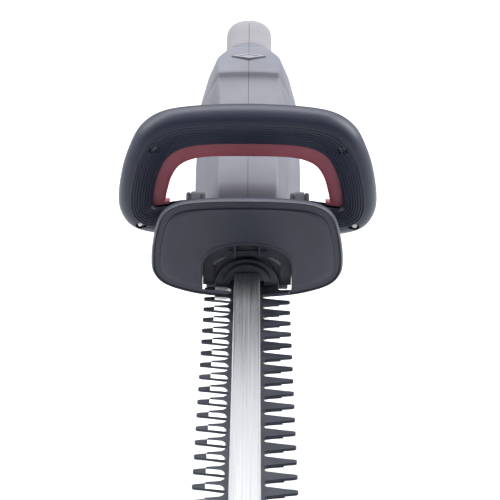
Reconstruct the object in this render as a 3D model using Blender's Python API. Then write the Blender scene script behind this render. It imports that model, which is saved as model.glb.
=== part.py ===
"""Corded hedge trimmer, modelled as an assembly of separate pieces.

Run it with:  blender --background --python part.py
The scene is in metres with +Z up.  Sizes below are in millimetres and every mesh helper turns them
into metres.  The origin is where the crank axis meets the gear case's flat underside.  The blades
point along -Y, the rear handle along +Y, and +X is the right-hand side seen from the blade's tip.
"""

import math

import bmesh
import bpy
from mathutils import Vector

MM = 0.001
GAP = 0.3                      # clearance between pieces that touch

# Blade pack
PITCH = 27.5                   # distance between teeth
TEETH = 20                     # teeth along each side of a blade
FIRST_TOOTH = -125.6           # centre of the first tooth on the -X side
SPINE_HALF = 14.0              # half width of a blade's spine
LONG_REACH = 39.5              # tip of the long blunt teeth, from the centre line
SHORT_REACH = 29.5             # tip of the short ground teeth, from the centre line
ROOT_HALF = 6.6                # half width of a tooth at its root
LONG_TIP_HALF = 3.0
SHORT_TIP_HALF = 4.3
BLADE_THICK = 2.0
BLADE_LOW = 7.7                # underside of the lower blade
BLADE_END = 17.0               # spine left beyond the last tooth
BAR_HALF = 12.0
BAR_THICK = 8.2
BAR_ROUND = 2.2                # rounding of the bar's upper edges
BAR_BACK = -62.0               # inner end of the bar, in the gear case
BOLT_COVER = 2.0               # metal left above a blade bolt's hole in the bar
BLADE_BOLTS = 4
BLADE_BOLT_STEP = 4            # teeth between two blade bolts
BLADE_BOLT_FIRST = -220.6
BOLT_R = 3.0
BOLT_HEAD_R = 5.5
BOLT_HEAD_THICK = 2.8
STROKE = 5.0                   # throw of each cam: each blade slides this far each way

# Gears and crank
MODULE = 1.5
GEAR_TEETH = 48
PINION_TEETH = 8
GEAR_THICK = 8.0
CAM_R = 11.5
CRANK_R = 4.0
BUSH_R = 8.0
RUNNING = 0.12                 # radial clearance of a shaft in its bearing
YOKE_CLEAR = 0.5               # clearance between a cam and its yoke, beyond the open linkage's travel
YOKE_RIM = 5.0

# Gear case
COVER_THICK = 3.0
CASE_WALL = 4.0
CASE_ROOF = 6.0
CASE_FRONT = -89.0             # where the gear case takes over from the nose cover
CASE_NECK_HALF = 34.0
NOSE_TIERS = ((-112.0, -106.5, 22.6, 28.5), (-106.5, -99.0, 30.0, 32.0), (-99.0, -89.3, 38.5, 35.5))

# Motor, standing on the gear case
STATOR_HALF = 28.0
STATOR_HEIGHT = 28.0
ARMATURE_R = 16.6
FAN_R = 25.0
MOTOR_SHAFT_R = 3.5
PINION_SHAFT_R = 2.2
BEARING_R = 9.5
SLOTS = 10

# Body shells: y, plateau height, plateau half width, foot of the flank, widest point, underside
WALL = 2.6
SEAM = 0.15                    # half of the gap between the two shells
STATIONS = (
    (-14.0, 67.5, 27.0, (37.0, 53.0), (49.0, 47.0), 29.8),
    (0.0, 76.0, 29.0, (39.0, 57.0), (51.5, 49.0), 29.8),
    (58.0, 104.1, 29.3, (40.5, 82.0), (52.5, 73.0), 29.8),
    (60.0, 105.0, 29.3, (40.5, 83.0), (52.5, 74.0), 5.0),
    (105.0, 126.0, 29.5, (38.0, 112.0), (51.0, 96.0), 4.0),
    (143.0, 143.5, 30.5, (33.5, 140.0), (50.5, 109.0), 8.0),
    (148.0, 149.0, 32.0, (40.0, 131.0), (50.5, 110.0), 9.0),
    (178.0, 155.0, 33.0, (42.0, 134.5), (48.8, 111.0), 17.0),
    (200.0, 157.0, 27.0, (36.0, 139.0), (44.5, 108.0), 27.0),
    (222.0, 157.0, 20.0, (28.0, 143.0), (36.0, 104.0), 42.0),
    (238.0, 153.0, 14.0, (20.0, 145.0), (25.0, 102.0), 58.0),
)

# Cooling vents through the body's sides
VENTS = 6
VENT_START = 72.0
VENT_STEP = 7.5
VENT_WIDE = 3.0

# Rear handle: centre line in the YZ plane, and its section
HANDLE_PATH = (
    (196.0, 128.0), (230.0, 139.0), (262.0, 143.5), (300.0, 145.0), (334.0, 143.5), (354.0, 128.0),
    (358.0, 106.0), (345.0, 86.0), (318.0, 74.0), (280.0, 66.0), (240.0, 60.0), (205.0, 56.0),
)
HANDLE_HALF_WIDE = 24.5
HANDLE_HALF_DEEP = 18.0
PAD_THICK = 2.0
HANDLE_WALL = 5.0
HANDLE_SIDES = 12
PAD_START = 238.0              # where the soft grip starts
PAD_FLOOR = 118.0              # lower edge of the soft grip

# Trigger and lock-off button
TRIGGER_PIVOT = (250.0, 133.0)
TRIGGER_HALF = 8.0
TRIGGER_LENGTH = 58.0
TRIGGER_DROP = 17.0
BUTTON_AT = (184.0, 156.0)
BUTTON_HALF_WIDE = 18.0
BUTTON_HALF_LONG = 10.0

# Power inlet at the end of the rear handle
INLET_R = 11.5
INLET_AT = 112.0
INLET_FRONT = 351.0
INLET_BACK = 381.0
INLET_DEEP = 16.0

# Front loop handle, in the XZ plane
LOOP_Y = -35.0
LOOP_HALF_DEEP = 18.0
LOOP_BAND = 34.0               # width of the loop's frame, from its outline to its opening
LOOP_OUTER = ((0.0, 163.4), (48.0, 161.6), (82.0, 155.8), (102.5, 142.0), (114.0, 121.0), (121.0, 98.0),
              (124.4, 72.0), (121.5, 55.0), (111.0, 42.0), (90.0, 35.5), (55.0, 33.1), (0.0, 33.1))
LOOP_INNER = ((0.0, 129.4), (40.0, 128.0), (64.0, 123.0), (77.0, 113.0), (84.5, 99.0), (89.0, 84.0),
              (91.0, 70.0), (90.0, 60.0), (84.0, 55.5), (72.0, 58.0), (52.0, 63.5), (0.0, 64.8))
SWITCH_BAND = 13.0
SWITCH_FRONT = -3.5            # front of the switch bar, from the loop's middle plane
SWITCH_DEEP = 13.0
SWITCH_TRAVEL = 4.0
SWITCH_TUCK = 0.8              # how far the switch bar reaches past the loop's opening at rest
SWITCH_LOW = 61.0
LOOP_SCREWS = ((89.5, 122.0), (103.5, 50.0))
SCREW_R = 2.0
SCREW_HEAD_R = 3.8
SCREW_SUNK = 9.0               # how far a loop screw's seat lies in front of the loop's middle plane

# Clamps that hold the loop on its bracket
CLAMP_X = 49.6
CLAMP_Y = -47.0
CLAMP_HALF = 9.2
CLAMP_R = 9.0
CLAMP_AXIS = 73.5
BRACKET_THICK = 3.0

# Hand guard
GUARD_FRONT = -120.0
GUARD_THICK = 3.0
GUARD_SWEEP = 12.0             # how far the sides are swept back
GUARD_LIP = 9.0                # depth of the turned-back rim
GUARD_OUTLINE = (
    (0.0, 92.0), (38.0, 90.5), (64.0, 85.5), (79.0, 74.0), (86.0, 52.0), (88.2, 30.0),
    (86.0, 17.0), (76.0, 7.0), (52.0, 0.5), (22.0, -2.2), (0.0, -2.5),
)
ARCH_HALF = 41.5
ARCH_TOP = 50.0
ARCH_FLOOR = 5.0
ARCH_SPRING = 26.0             # height where the arch's curve starts
ARCH_DEPTH = 20.0              # how far the arch's flange reaches back
FOOT_BACK = -62.0              # rear edge of the guard's foot on the gear case

# Body screws: y, z and the half width of the body there
BODY_SCREW_SUNK = 6.0          # how far a body screw's seat lies under the body's side
BODY_SCREWS = ((-4.0, 44.0, 50.0), (92.0, 24.0, 51.0), (158.0, 92.0, 49.0), (300.0, 70.0, 17.0))

# Finishes: colour, roughness, metallic
FINISHES = {
    "body_plastic": ((0.30, 0.30, 0.34), 0.5, 0.0),
    "handle_plastic": ((0.045, 0.05, 0.075), 0.5, 0.0),
    "guard_plastic": ((0.045, 0.05, 0.075), 0.55, 0.0),
    "nose_plastic": ((0.045, 0.05, 0.075), 0.5, 0.0),
    "gearcase_alloy": ((0.045, 0.05, 0.075), 0.45, 0.3),
    "grip_rubber": ((0.24, 0.235, 0.26), 0.75, 0.0),
    "switch_red": ((0.42, 0.08, 0.10), 0.45, 0.0),
    "button_grey": ((0.32, 0.32, 0.36), 0.5, 0.0),
    "clamp_grey": ((0.2, 0.22, 0.26), 0.45, 0.0),
    "dark_plastic": ((0.03, 0.03, 0.035), 0.4, 0.0),
    "brush_carbon": ((0.05, 0.05, 0.05), 0.6, 0.0),
    "blade_steel": ((0.07, 0.08, 0.10), 0.38, 0.9),
    "bar_aluminium": ((0.72, 0.73, 0.76), 0.3, 1.0),
    "cover_steel": ((0.4, 0.4, 0.42), 0.45, 0.9),
    "zinc_steel": ((0.6, 0.6, 0.62), 0.32, 1.0),
    "shaft_steel": ((0.6, 0.6, 0.62), 0.25, 1.0),
    "gear_steel": ((0.33, 0.33, 0.34), 0.4, 1.0),
    "bush_bronze": ((0.55, 0.36, 0.16), 0.4, 1.0),
    "motor_iron": ((0.28, 0.28, 0.3), 0.5, 0.9),
    "copper": ((0.75, 0.36, 0.18), 0.35, 1.0),
    "pin_brass": ((0.7, 0.52, 0.25), 0.3, 1.0),
}


# helpers

def clear_scene():
    for leftover in list(bpy.data.objects):
        bpy.data.objects.remove(leftover, do_unlink=True)


def look(name):
    """The named finish, made once."""
    if name in bpy.data.materials:
        return bpy.data.materials[name]
    colour, roughness, metallic = FINISHES[name]
    material = bpy.data.materials.new(name)
    material.use_nodes = True
    shader = material.node_tree.nodes["Principled BSDF"]
    shader.inputs["Base Color"].default_value = (*colour, 1.0)
    shader.inputs["Roughness"].default_value = roughness
    shader.inputs["Metallic"].default_value = metallic
    return material


def finish_mesh(bm, name):
    """Turn a bmesh in millimetres into a mesh in metres with its faces pointing out."""
    bmesh.ops.remove_doubles(bm, verts=bm.verts, dist=0.001)
    bmesh.ops.recalc_face_normals(bm, faces=bm.faces)
    if bm.calc_volume(signed=True) < 0:
        bmesh.ops.reverse_faces(bm, faces=bm.faces)
    bmesh.ops.scale(bm, vec=(MM, MM, MM), verts=bm.verts)
    mesh = bpy.data.meshes.new(name)
    bm.to_mesh(mesh)
    bm.free()
    return mesh


def loft(rings):
    """A closed body through rings of points that all have the same count."""
    bm = bmesh.new()
    loops = [[bm.verts.new(point) for point in ring] for ring in rings]
    count = len(loops[0])
    for near, far in zip(loops, loops[1:]):
        for i in range(count):
            j = (i + 1) % count
            bm.faces.new((near[i], near[j], far[j], far[i]))
    bm.faces.new(list(reversed(loops[0])))
    bm.faces.new(loops[-1])
    return finish_mesh(bm, "loft")


def hoop(rings):
    """Like loft, but the last ring joins the first: a closed ring body."""
    bm = bmesh.new()
    loops = [[bm.verts.new(point) for point in ring] for ring in rings]
    count = len(loops[0])
    for near, far in zip(loops, loops[1:] + loops[:1]):
        for i in range(count):
            j = (i + 1) % count
            bm.faces.new((near[i], near[j], far[j], far[i]))
    return finish_mesh(bm, "hoop")


def place(point, plane, level):
    """Put a point of an outline at its level, across the given plane."""
    a, b = point
    if plane == "XY":
        return (a, b, level)
    if plane == "XZ":
        return (a, level, b)
    return (level, a, b)


def prism(outline, low, high, plane="XY"):
    """An outline extruded across its plane from low to high."""
    bm = bmesh.new()
    face = bm.faces.new([bm.verts.new(place(point, plane, low)) for point in outline])
    extruded = bmesh.ops.extrude_face_region(bm, geom=[face])["geom"]
    top = [item for item in extruded if isinstance(item, bmesh.types.BMVert)]
    bmesh.ops.translate(bm, verts=top, vec=Vector(place((0.0, 0.0), plane, high - low)))
    return finish_mesh(bm, "prism")


def box(low, high):
    outline = ((low[0], low[1]), (high[0], low[1]), (high[0], high[1]), (low[0], high[1]))
    return prism(outline, low[2], high[2])


def circle(radius, count, at=(0.0, 0.0), turn=0.0):
    step = math.tau / count
    return [(at[0] + radius * math.cos(turn + i * step), at[1] + radius * math.sin(turn + i * step))
            for i in range(count)]


def disc(radius, low, high, count=20, at=(0.0, 0.0), plane="XY"):
    return prism(circle(radius, count, at, math.pi / count), low, high, plane)


def lathe(profile, count=18, closed=False):
    """A turned body about Z from (radius, height) points; closed joins the last point to the first."""
    bm = bmesh.new()
    points = [bm.verts.new((radius, 0.0, height)) for radius, height in profile]
    pairs = list(zip(points, points[1:]))
    if closed:
        pairs.append((points[-1], points[0]))
    edges = [bm.edges.new(pair) for pair in pairs]
    bmesh.ops.spin(bm, geom=points + edges, cent=(0, 0, 0), axis=(0, 0, 1), angle=math.tau, steps=count)
    return finish_mesh(bm, "lathe")


def ring(inner, outer, low, high, count=18):
    return lathe(((inner, low), (outer, low), (outer, high), (inner, high)), count, closed=True)


def smooth_outline(points, steps):
    """A closed outline, mirrored in X, on a smooth curve through the points of its right half."""
    left = [(-x, y) for x, y in reversed(points[1:-1])]
    whole = list(points) + left
    count = len(whole)
    curve = []
    for i in range(count):
        p0, p1, p2, p3 = (Vector(whole[(i + k - 1) % count]) for k in range(4))
        for step in range(steps):
            t = step / steps
            point = 0.5 * (2 * p1 + (p2 - p0) * t + (2 * p0 - 5 * p1 + 4 * p2 - p3) * t ** 2
                           + (3 * p1 - p0 - 3 * p2 + p3) * t ** 3)
            curve.append((point.x, point.y))
    return curve


def inset(outline, distance):
    """Each point of a clockwise closed outline moved inwards along its normal."""
    count = len(outline)
    moved = []
    for i, (x, y) in enumerate(outline):
        ahead = outline[(i + 1) % count]
        behind = outline[i - 1]
        tangent = Vector((ahead[0] - behind[0], ahead[1] - behind[1])).normalized()
        moved.append((x + tangent.y * distance, y - tangent.x * distance))
    return moved


def hull(points):
    """The convex outline round a set of points, anticlockwise."""
    ordered = sorted(set(points))

    def half(run):
        chain = []
        for p in run:
            while len(chain) > 1 and ((chain[-1][0] - chain[-2][0]) * (p[1] - chain[-2][1])
                                      - (chain[-1][1] - chain[-2][1]) * (p[0] - chain[-2][0])) <= 1e-6:
                chain.pop()
            chain.append(p)
        return chain[:-1]

    return half(ordered) + half(list(reversed(ordered)))


def add(name, mesh, material, at=(0.0, 0.0, 0.0), parent=None, smooth=True):
    """A named piece whose origin is at the given point; its mesh is written about that point."""
    piece = bpy.data.objects.new(name, mesh)
    mesh.name = name
    mesh.materials.clear()
    mesh.materials.append(material)
    if smooth:
        mesh.shade_smooth()
        mesh.set_sharp_from_angle(angle=math.radians(35))
    bpy.context.collection.objects.link(piece)
    piece.location = Vector(at) * MM
    if parent:
        piece.parent = parent
    return piece


def empty(name, at):
    marker = bpy.data.objects.new(name, None)
    bpy.context.collection.objects.link(marker)
    marker.location = Vector(at) * MM
    return marker


def combine(mesh, other, operation, solver="EXACT"):
    """The boolean of two meshes, as a new mesh."""
    target = bpy.data.objects.new("target", mesh)
    tool = bpy.data.objects.new("tool", other)
    for piece in (target, tool):
        bpy.context.collection.objects.link(piece)
    modifier = target.modifiers.new("combine", "BOOLEAN")
    modifier.operation = operation
    modifier.solver = solver
    modifier.object = tool
    graph = bpy.context.evaluated_depsgraph_get()
    result = bpy.data.meshes.new_from_object(target.evaluated_get(graph))
    for piece in (target, tool):
        bpy.data.objects.remove(piece, do_unlink=True)
    return result


def cut(mesh, *others):
    for other in others:
        mesh = combine(mesh, other, "DIFFERENCE")
    return mesh


def fuse(mesh, *others):
    for other in others:
        mesh = combine(mesh, other, "UNION")
    return mesh


def keep(mesh, other):
    """What lies inside both; the exact solver loses the right-hand shell here."""
    return combine(mesh, other, "INTERSECT", "MANIFOLD")


# derived heights

UPPER_LOW = BLADE_LOW + BLADE_THICK + GAP
BAR_LOW = UPPER_LOW + BLADE_THICK + GAP
BAR_TOP = BAR_LOW + BAR_THICK
GEAR_LOW = BAR_LOW + 1.2
GEAR_HIGH = GEAR_LOW + GEAR_THICK
CAVITY_TOP = GEAR_HIGH + 1.8
CASE_TOP = CAVITY_TOP + CASE_ROOF
GEAR_R = MODULE * GEAR_TEETH / 2
PINION_R = MODULE * PINION_TEETH / 2
MOTOR_Y = GEAR_R + PINION_R + 0.2
CASE_R = GEAR_R + MODULE + 2.0 + CASE_WALL
CASE_REAR_R = PINION_R + MODULE + 3.0 + CASE_WALL
BLADE_TIP = FIRST_TOOTH - PITCH * (TEETH - 0.5) - BLADE_END


# blades, bar and their bolts

def tooth(side, y, reach, tip_half):
    """Points of one tooth on the given side, from its near root to its far root (towards +Y)."""
    rise = reach - SPINE_HALF
    half = ((0.0, ROOT_HALF + 2.4), (0.09 * rise, ROOT_HALF + 0.4), (0.93 * rise, tip_half))
    near = [(side * (SPINE_HALF + out), y - across) for out, across in half]
    far = [(side * (SPINE_HALF + out), y + across) for out, across in reversed(half)]
    return near + [(side * reach, y)] + far


def blade_outline(long_side):
    """One stamping: long teeth on one side, short teeth on the other, half a pitch apart."""
    right = []
    left = []
    for index in range(TEETH):
        y_left = FIRST_TOOTH - PITCH * (TEETH - 1 - index)
        y_right = y_left - PITCH / 2
        size = {True: (LONG_REACH, LONG_TIP_HALF), False: (SHORT_REACH, SHORT_TIP_HALF)}
        right += tooth(1, y_right, *size[long_side > 0])
        left += tooth(-1, y_left, *size[long_side < 0])
    shoulder = FIRST_TOOTH + ROOT_HALF + 6.0
    yoke_half = CAM_R + 2 * STROKE + YOKE_CLEAR + YOKE_RIM
    yoke_wide = CAM_R + STROKE + YOKE_CLEAR + YOKE_RIM
    head = [(SPINE_HALF, shoulder), (SPINE_HALF, -yoke_half - 3.0), (yoke_wide, 6.0 - yoke_half),
            (yoke_wide, yoke_half - 6.0), (yoke_wide - 6.0, yoke_half)]
    tail = [(-x, y) for x, y in reversed(head)]
    tip = [(-SPINE_HALF, BLADE_TIP + 8.0), (-8.0, BLADE_TIP), (8.0, BLADE_TIP), (SPINE_HALF, BLADE_TIP + 8.0)]
    return tip + right + head + tail + list(reversed(left))


def slot(half_wide, half_long, y):
    """A round-ended slot along Y."""
    straight = half_long - half_wide
    ends = [(half_wide * math.cos(math.radians(a)), y + straight + half_wide * math.sin(math.radians(a)))
            for a in range(0, 181, 30)]
    return ends + [(-x, 2 * y - v) for x, v in ends]


def bolt_places():
    return [BLADE_BOLT_FIRST - PITCH * BLADE_BOLT_STEP * i for i in range(BLADE_BOLTS)]


def blade(name, low, long_side, material):
    mesh = prism(blade_outline(long_side), low, low + BLADE_THICK)
    wide = CAM_R + STROKE + YOKE_CLEAR
    deep = CAM_R + 2 * STROKE + YOKE_CLEAR
    mesh = cut(mesh, box((-wide, -deep, low - 5), (wide, deep, low + 5)))
    for y in bolt_places():
        mesh = cut(mesh, prism(slot(BOLT_R + 0.5, BOLT_R + STROKE + 0.8, y), low - 5, low + 5))
    return add(name, mesh, material)


def blade_pack():
    steel = look("blade_steel")
    blade("lower_blade", BLADE_LOW, -1, steel)
    blade("upper_blade", UPPER_LOW, 1, steel)
    corner = BAR_ROUND * (1 - math.sqrt(0.5))
    section = ((-BAR_HALF, BAR_LOW), (BAR_HALF, BAR_LOW), (BAR_HALF, BAR_TOP - BAR_ROUND),
               (BAR_HALF - corner, BAR_TOP - corner), (BAR_HALF - BAR_ROUND, BAR_TOP),
               (BAR_ROUND - BAR_HALF, BAR_TOP), (corner - BAR_HALF, BAR_TOP - corner),
               (-BAR_HALF, BAR_TOP - BAR_ROUND))
    mesh = prism(section, BLADE_TIP - 3.0, BAR_BACK, "XZ")
    for y in bolt_places():
        mesh = cut(mesh, disc(BOLT_R + GAP, BAR_LOW - 5, BAR_TOP - BOLT_COVER, 16, (0.0, y)))
    add("blade_bar", mesh, look("bar_aluminium"))
    head_top = BLADE_LOW - GAP
    profile = ((0.0, head_top - BOLT_HEAD_THICK), (BOLT_HEAD_R - 0.8, head_top - BOLT_HEAD_THICK),
               (BOLT_HEAD_R, head_top - BOLT_HEAD_THICK + 0.8), (BOLT_HEAD_R, head_top), (BOLT_R, head_top),
               (BOLT_R, BAR_TOP - BOLT_COVER - GAP), (0.0, BAR_TOP - BOLT_COVER - GAP))
    for index, y in enumerate(bolt_places()):
        add(f"blade_bolt_{index + 1}", lathe(profile, 12), look("zinc_steel"), (0.0, y, 0.0))


# crank and gears

def gear_outline(teeth, turn):
    """Straight-sided teeth; a tooth is centred at the angle turn."""
    pitch_r = MODULE * teeth / 2
    tip_r = pitch_r + 0.85 * MODULE
    root_r = pitch_r - 1.15 * MODULE
    step = math.tau / teeth
    root = 0.34 * step
    tip = 0.11 * step
    outline = []
    for i in range(teeth):
        middle = turn + i * step
        for radius, offset in ((root_r, -root), (tip_r, -tip), (tip_r, tip), (root_r, root)):
            outline.append((radius * math.cos(middle + offset), radius * math.sin(middle + offset)))
    return outline


def crank():
    steel = look("gear_steel")
    axis = empty("crank_axis", (0.0, 0.0, 0.0))
    bore = CRANK_R + GAP
    half_tooth = math.pi / GEAR_TEETH
    gear = prism(gear_outline(GEAR_TEETH, math.pi / 2 + half_tooth), GEAR_LOW, GEAR_HIGH)
    hole_ring = 0.56 * GEAR_R
    for angle in range(45, 360, 90):
        spot = (hole_ring * math.cos(math.radians(angle)), hole_ring * math.sin(math.radians(angle)))
        gear = cut(gear, disc(0.19 * GEAR_R, GEAR_LOW - 5, GEAR_HIGH + 5, 12, spot))
    gear = cut(gear, disc(bore, GEAR_LOW - 5, GEAR_HIGH + 5))
    add("crank_gear", gear, steel, parent=axis)
    lower = disc(CAM_R, BLADE_LOW - 0.2, BLADE_LOW + BLADE_THICK, 32, (-STROKE, 0.0))
    upper = disc(CAM_R, UPPER_LOW, GEAR_LOW - GAP, 32, (STROKE, 0.0))
    for name, cam in (("lower_cam", lower), ("upper_cam", upper)):
        add(name, cut(cam, disc(bore, 0.0, CASE_TOP)), steel, parent=axis)
    shaft_low = COVER_THICK + GAP
    shaft_high = CASE_TOP - GAP
    profile = ((0.0, shaft_low), (CRANK_R - 0.5, shaft_low), (CRANK_R, shaft_low + 0.5),
               (CRANK_R, shaft_high - 0.5), (CRANK_R - 0.5, shaft_high), (0.0, shaft_high))
    add("crank_shaft", lathe(profile), look("shaft_steel"), parent=axis)
    bronze = look("bush_bronze")
    add("crank_bush_lower", ring(CRANK_R + RUNNING, BUSH_R, shaft_low, BLADE_LOW - 0.8), bronze)
    add("crank_bush_upper", ring(CRANK_R + RUNNING, BUSH_R, CAVITY_TOP + GAP, shaft_high), bronze)


# gear case, cover and nose

def case_outline(shrink):
    return hull(circle(CASE_R - shrink, 40) + circle(CASE_REAR_R - shrink, 24, (0.0, MOTOR_Y)))


def gear_case():
    alloy = look("gearcase_alloy")
    neck = [(-CASE_NECK_HALF, CASE_FRONT), (CASE_NECK_HALF, CASE_FRONT)]
    outline = hull(case_outline(0.0) + neck)
    channel = SPINE_HALF + 1.5
    case = prism(outline, COVER_THICK + GAP, CASE_TOP)
    case = cut(case, prism(case_outline(CASE_WALL), 0.0, CAVITY_TOP))
    case = cut(case, box((-channel, CASE_FRONT - 5, 0.0), (channel, -20.0, BAR_TOP + GAP)))
    case = cut(case, disc(BUSH_R + GAP, 0.0, CASE_TOP + 5))
    case = cut(case, disc(BEARING_R + GAP, 0.0, CASE_TOP + 5, 24, (0.0, MOTOR_Y)))
    holes = [(x, y, SCREW_R + GAP) for x, y in guard_screw_places() + bracket_screw_places()]
    for x, y, radius in holes:
        case = cut(case, disc(radius, CASE_TOP - CASE_ROOF + 1.5, CASE_TOP + 5, 12, (x, y)))
    add("gearcase_housing", case, alloy)
    cover = prism(outline, 0.0, COVER_THICK)
    boss = ring(BUSH_R + GAP, BUSH_R + 4.0, COVER_THICK - 1.0, BLADE_LOW - 0.8)
    add("gearcase_cover", fuse(cover, boss), look("cover_steel"))


def arch(half, top, base=8.0, foot=0.0, count=18):
    """An arch over the blade pack with a flat foot."""
    curve = [(half * math.cos(math.pi * i / count), base + (top - base) * math.sin(math.pi * i / count))
             for i in range(count + 1)]
    return curve + [(-half, foot), (half, foot)]


def nose_cover():
    rings = []
    step = 0.6
    for index, (front, back, half, top) in enumerate(NOSE_TIERS):
        foot = step * (len(NOSE_TIERS) - 1 - index)
        for y in (front, back):
            rings.append([place(point, "XZ", y) for point in arch(half, top, foot=foot)])
    nose = loft(rings)
    channel = SPINE_HALF + 1.5
    front = NOSE_TIERS[0][0] - 5
    back = NOSE_TIERS[-1][1] + 5
    half = BAR_HALF + GAP
    low = BLADE_LOW - 3.0
    ledge = BAR_LOW + GAP
    high = BAR_TOP + GAP
    passage = ((-channel, low), (channel, low), (channel, ledge), (half, ledge),
               (half, high), (-half, high), (-half, ledge), (-channel, ledge))
    nose = cut(nose, prism(passage, front, back, "XZ"))
    add("nose_cover", nose, look("nose_plastic"))


def guard_screw_places():
    return [(-11.0, -72.0), (11.0, -72.0)]


def bracket_screw_places():
    return [(-22.0, CLAMP_Y), (22.0, CLAMP_Y)]


def screw(name, at, axis, head_r, shank_r, head, length, material):
    """A pan-head screw whose head's face is at the given point and whose shank runs along the axis."""
    profile = ((0.0, 0.0), (head_r - 0.6, 0.0), (head_r, 0.6), (head_r, head), (shank_r, head),
               (shank_r, length), (0.0, length))
    mesh = lathe(profile, 12)
    turn = Vector((0, 0, 1)).rotation_difference(Vector(axis))
    piece = add(name, mesh, material, at)
    piece.rotation_euler = turn.to_euler()
    return piece


# hand guard

def guard_ring(outline, scale, shift, centre):
    """One ring of the guard: the outline scaled about its middle, on the swept-back surface."""
    ring_points = []
    for x, z in outline:
        a = x * scale
        b = centre + (z - centre) * scale
        ring_points.append((a, GUARD_FRONT + GUARD_SWEEP * (a / GUARD_OUTLINE[5][0]) ** 2 + shift, b))
    return ring_points


def hand_guard():
    outline = smooth_outline(GUARD_OUTLINE, 2)
    middle = 0.5 * (GUARD_OUTLINE[0][1] + GUARD_OUTLINE[-1][1])
    inner = inset(outline, GUARD_THICK)
    rings = [guard_ring(outline, s, 0.0, middle) for s in (0.3, 0.7)]
    rings.append(guard_ring(inset(outline, 4.0), 1.0, 0.0, middle))
    rings.append(guard_ring(inset(outline, 1.0), 1.0, 1.2, middle))
    rings.append(guard_ring(outline, 1.0, 3.5, middle))
    rings.append(guard_ring(outline, 1.0, GUARD_LIP, middle))
    rings.append(guard_ring(inner, 1.0, GUARD_LIP, middle))
    rings.append(guard_ring(inner, 1.0, GUARD_THICK + 1.0, middle))
    rings.append(guard_ring(inset(outline, GUARD_THICK + 2.0), 1.0, GUARD_THICK, middle))
    rings += [guard_ring(outline, s, GUARD_THICK, middle) for s in (0.7, 0.3)]
    guard = loft(rings)
    wall = 2.5
    flange = arch(ARCH_HALF + wall, ARCH_TOP + wall, ARCH_SPRING, 16.0)
    guard = fuse(guard, prism(flange, GUARD_FRONT + 1.2, GUARD_FRONT + ARCH_DEPTH, "XZ"))
    hollow = arch(ARCH_HALF, ARCH_TOP, ARCH_SPRING, ARCH_FLOOR)
    guard = cut(guard, prism(hollow, GUARD_FRONT - 20, GUARD_FRONT + 60, "XZ"))
    web = 1.8
    web_x = 11.4
    web_low = NOSE_TIERS[-1][3] + 0.8
    for side in (-1, 1):
        low = (side * web_x - web / 2, GUARD_FRONT + 3, web_low)
        high = (side * web_x + web / 2, GUARD_FRONT + ARCH_DEPTH - 1, ARCH_TOP + 1)
        guard = fuse(guard, box(low, high))
    seat = CASE_TOP + GAP
    plate = 3.0
    start = GUARD_FRONT + ARCH_DEPTH - 3
    bend = CASE_FRONT + 4
    foot = ((start, web_low), (bend, web_low), (bend, seat), (FOOT_BACK, seat), (FOOT_BACK, seat + plate),
            (bend + plate, seat + plate), (bend + plate, web_low + plate), (start, web_low + plate))
    guard = fuse(guard, prism(foot, -18.0, 18.0, "YZ"))
    for x, y in guard_screw_places():
        guard = cut(guard, disc(SCREW_R + GAP, seat - 5, seat + 9, 12, (x, y)))
    add("hand_guard", guard, look("guard_plastic"))
    zinc = look("zinc_steel")
    head = 2.2
    for side, (x, y) in zip(("left", "right"), guard_screw_places()):
        at = (x, y, seat + plate + GAP + head)
        screw(f"guard_screw_{side}", at, (0, 0, -1), SCREW_HEAD_R, SCREW_R, head, 9.0, zinc)


# front loop handle

def loop_ring(u, v, steps=2):
    """The loop's outline moved inwards by u, at depth v from the loop's middle plane."""
    outer = smooth_outline(LOOP_OUTER, steps)
    inner = smooth_outline(LOOP_INNER, steps)
    share = u / LOOP_BAND
    return [(a + (c - a) * share, LOOP_Y + v, b + (d - b) * share) for (a, b), (c, d) in zip(outer, inner)]


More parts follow.
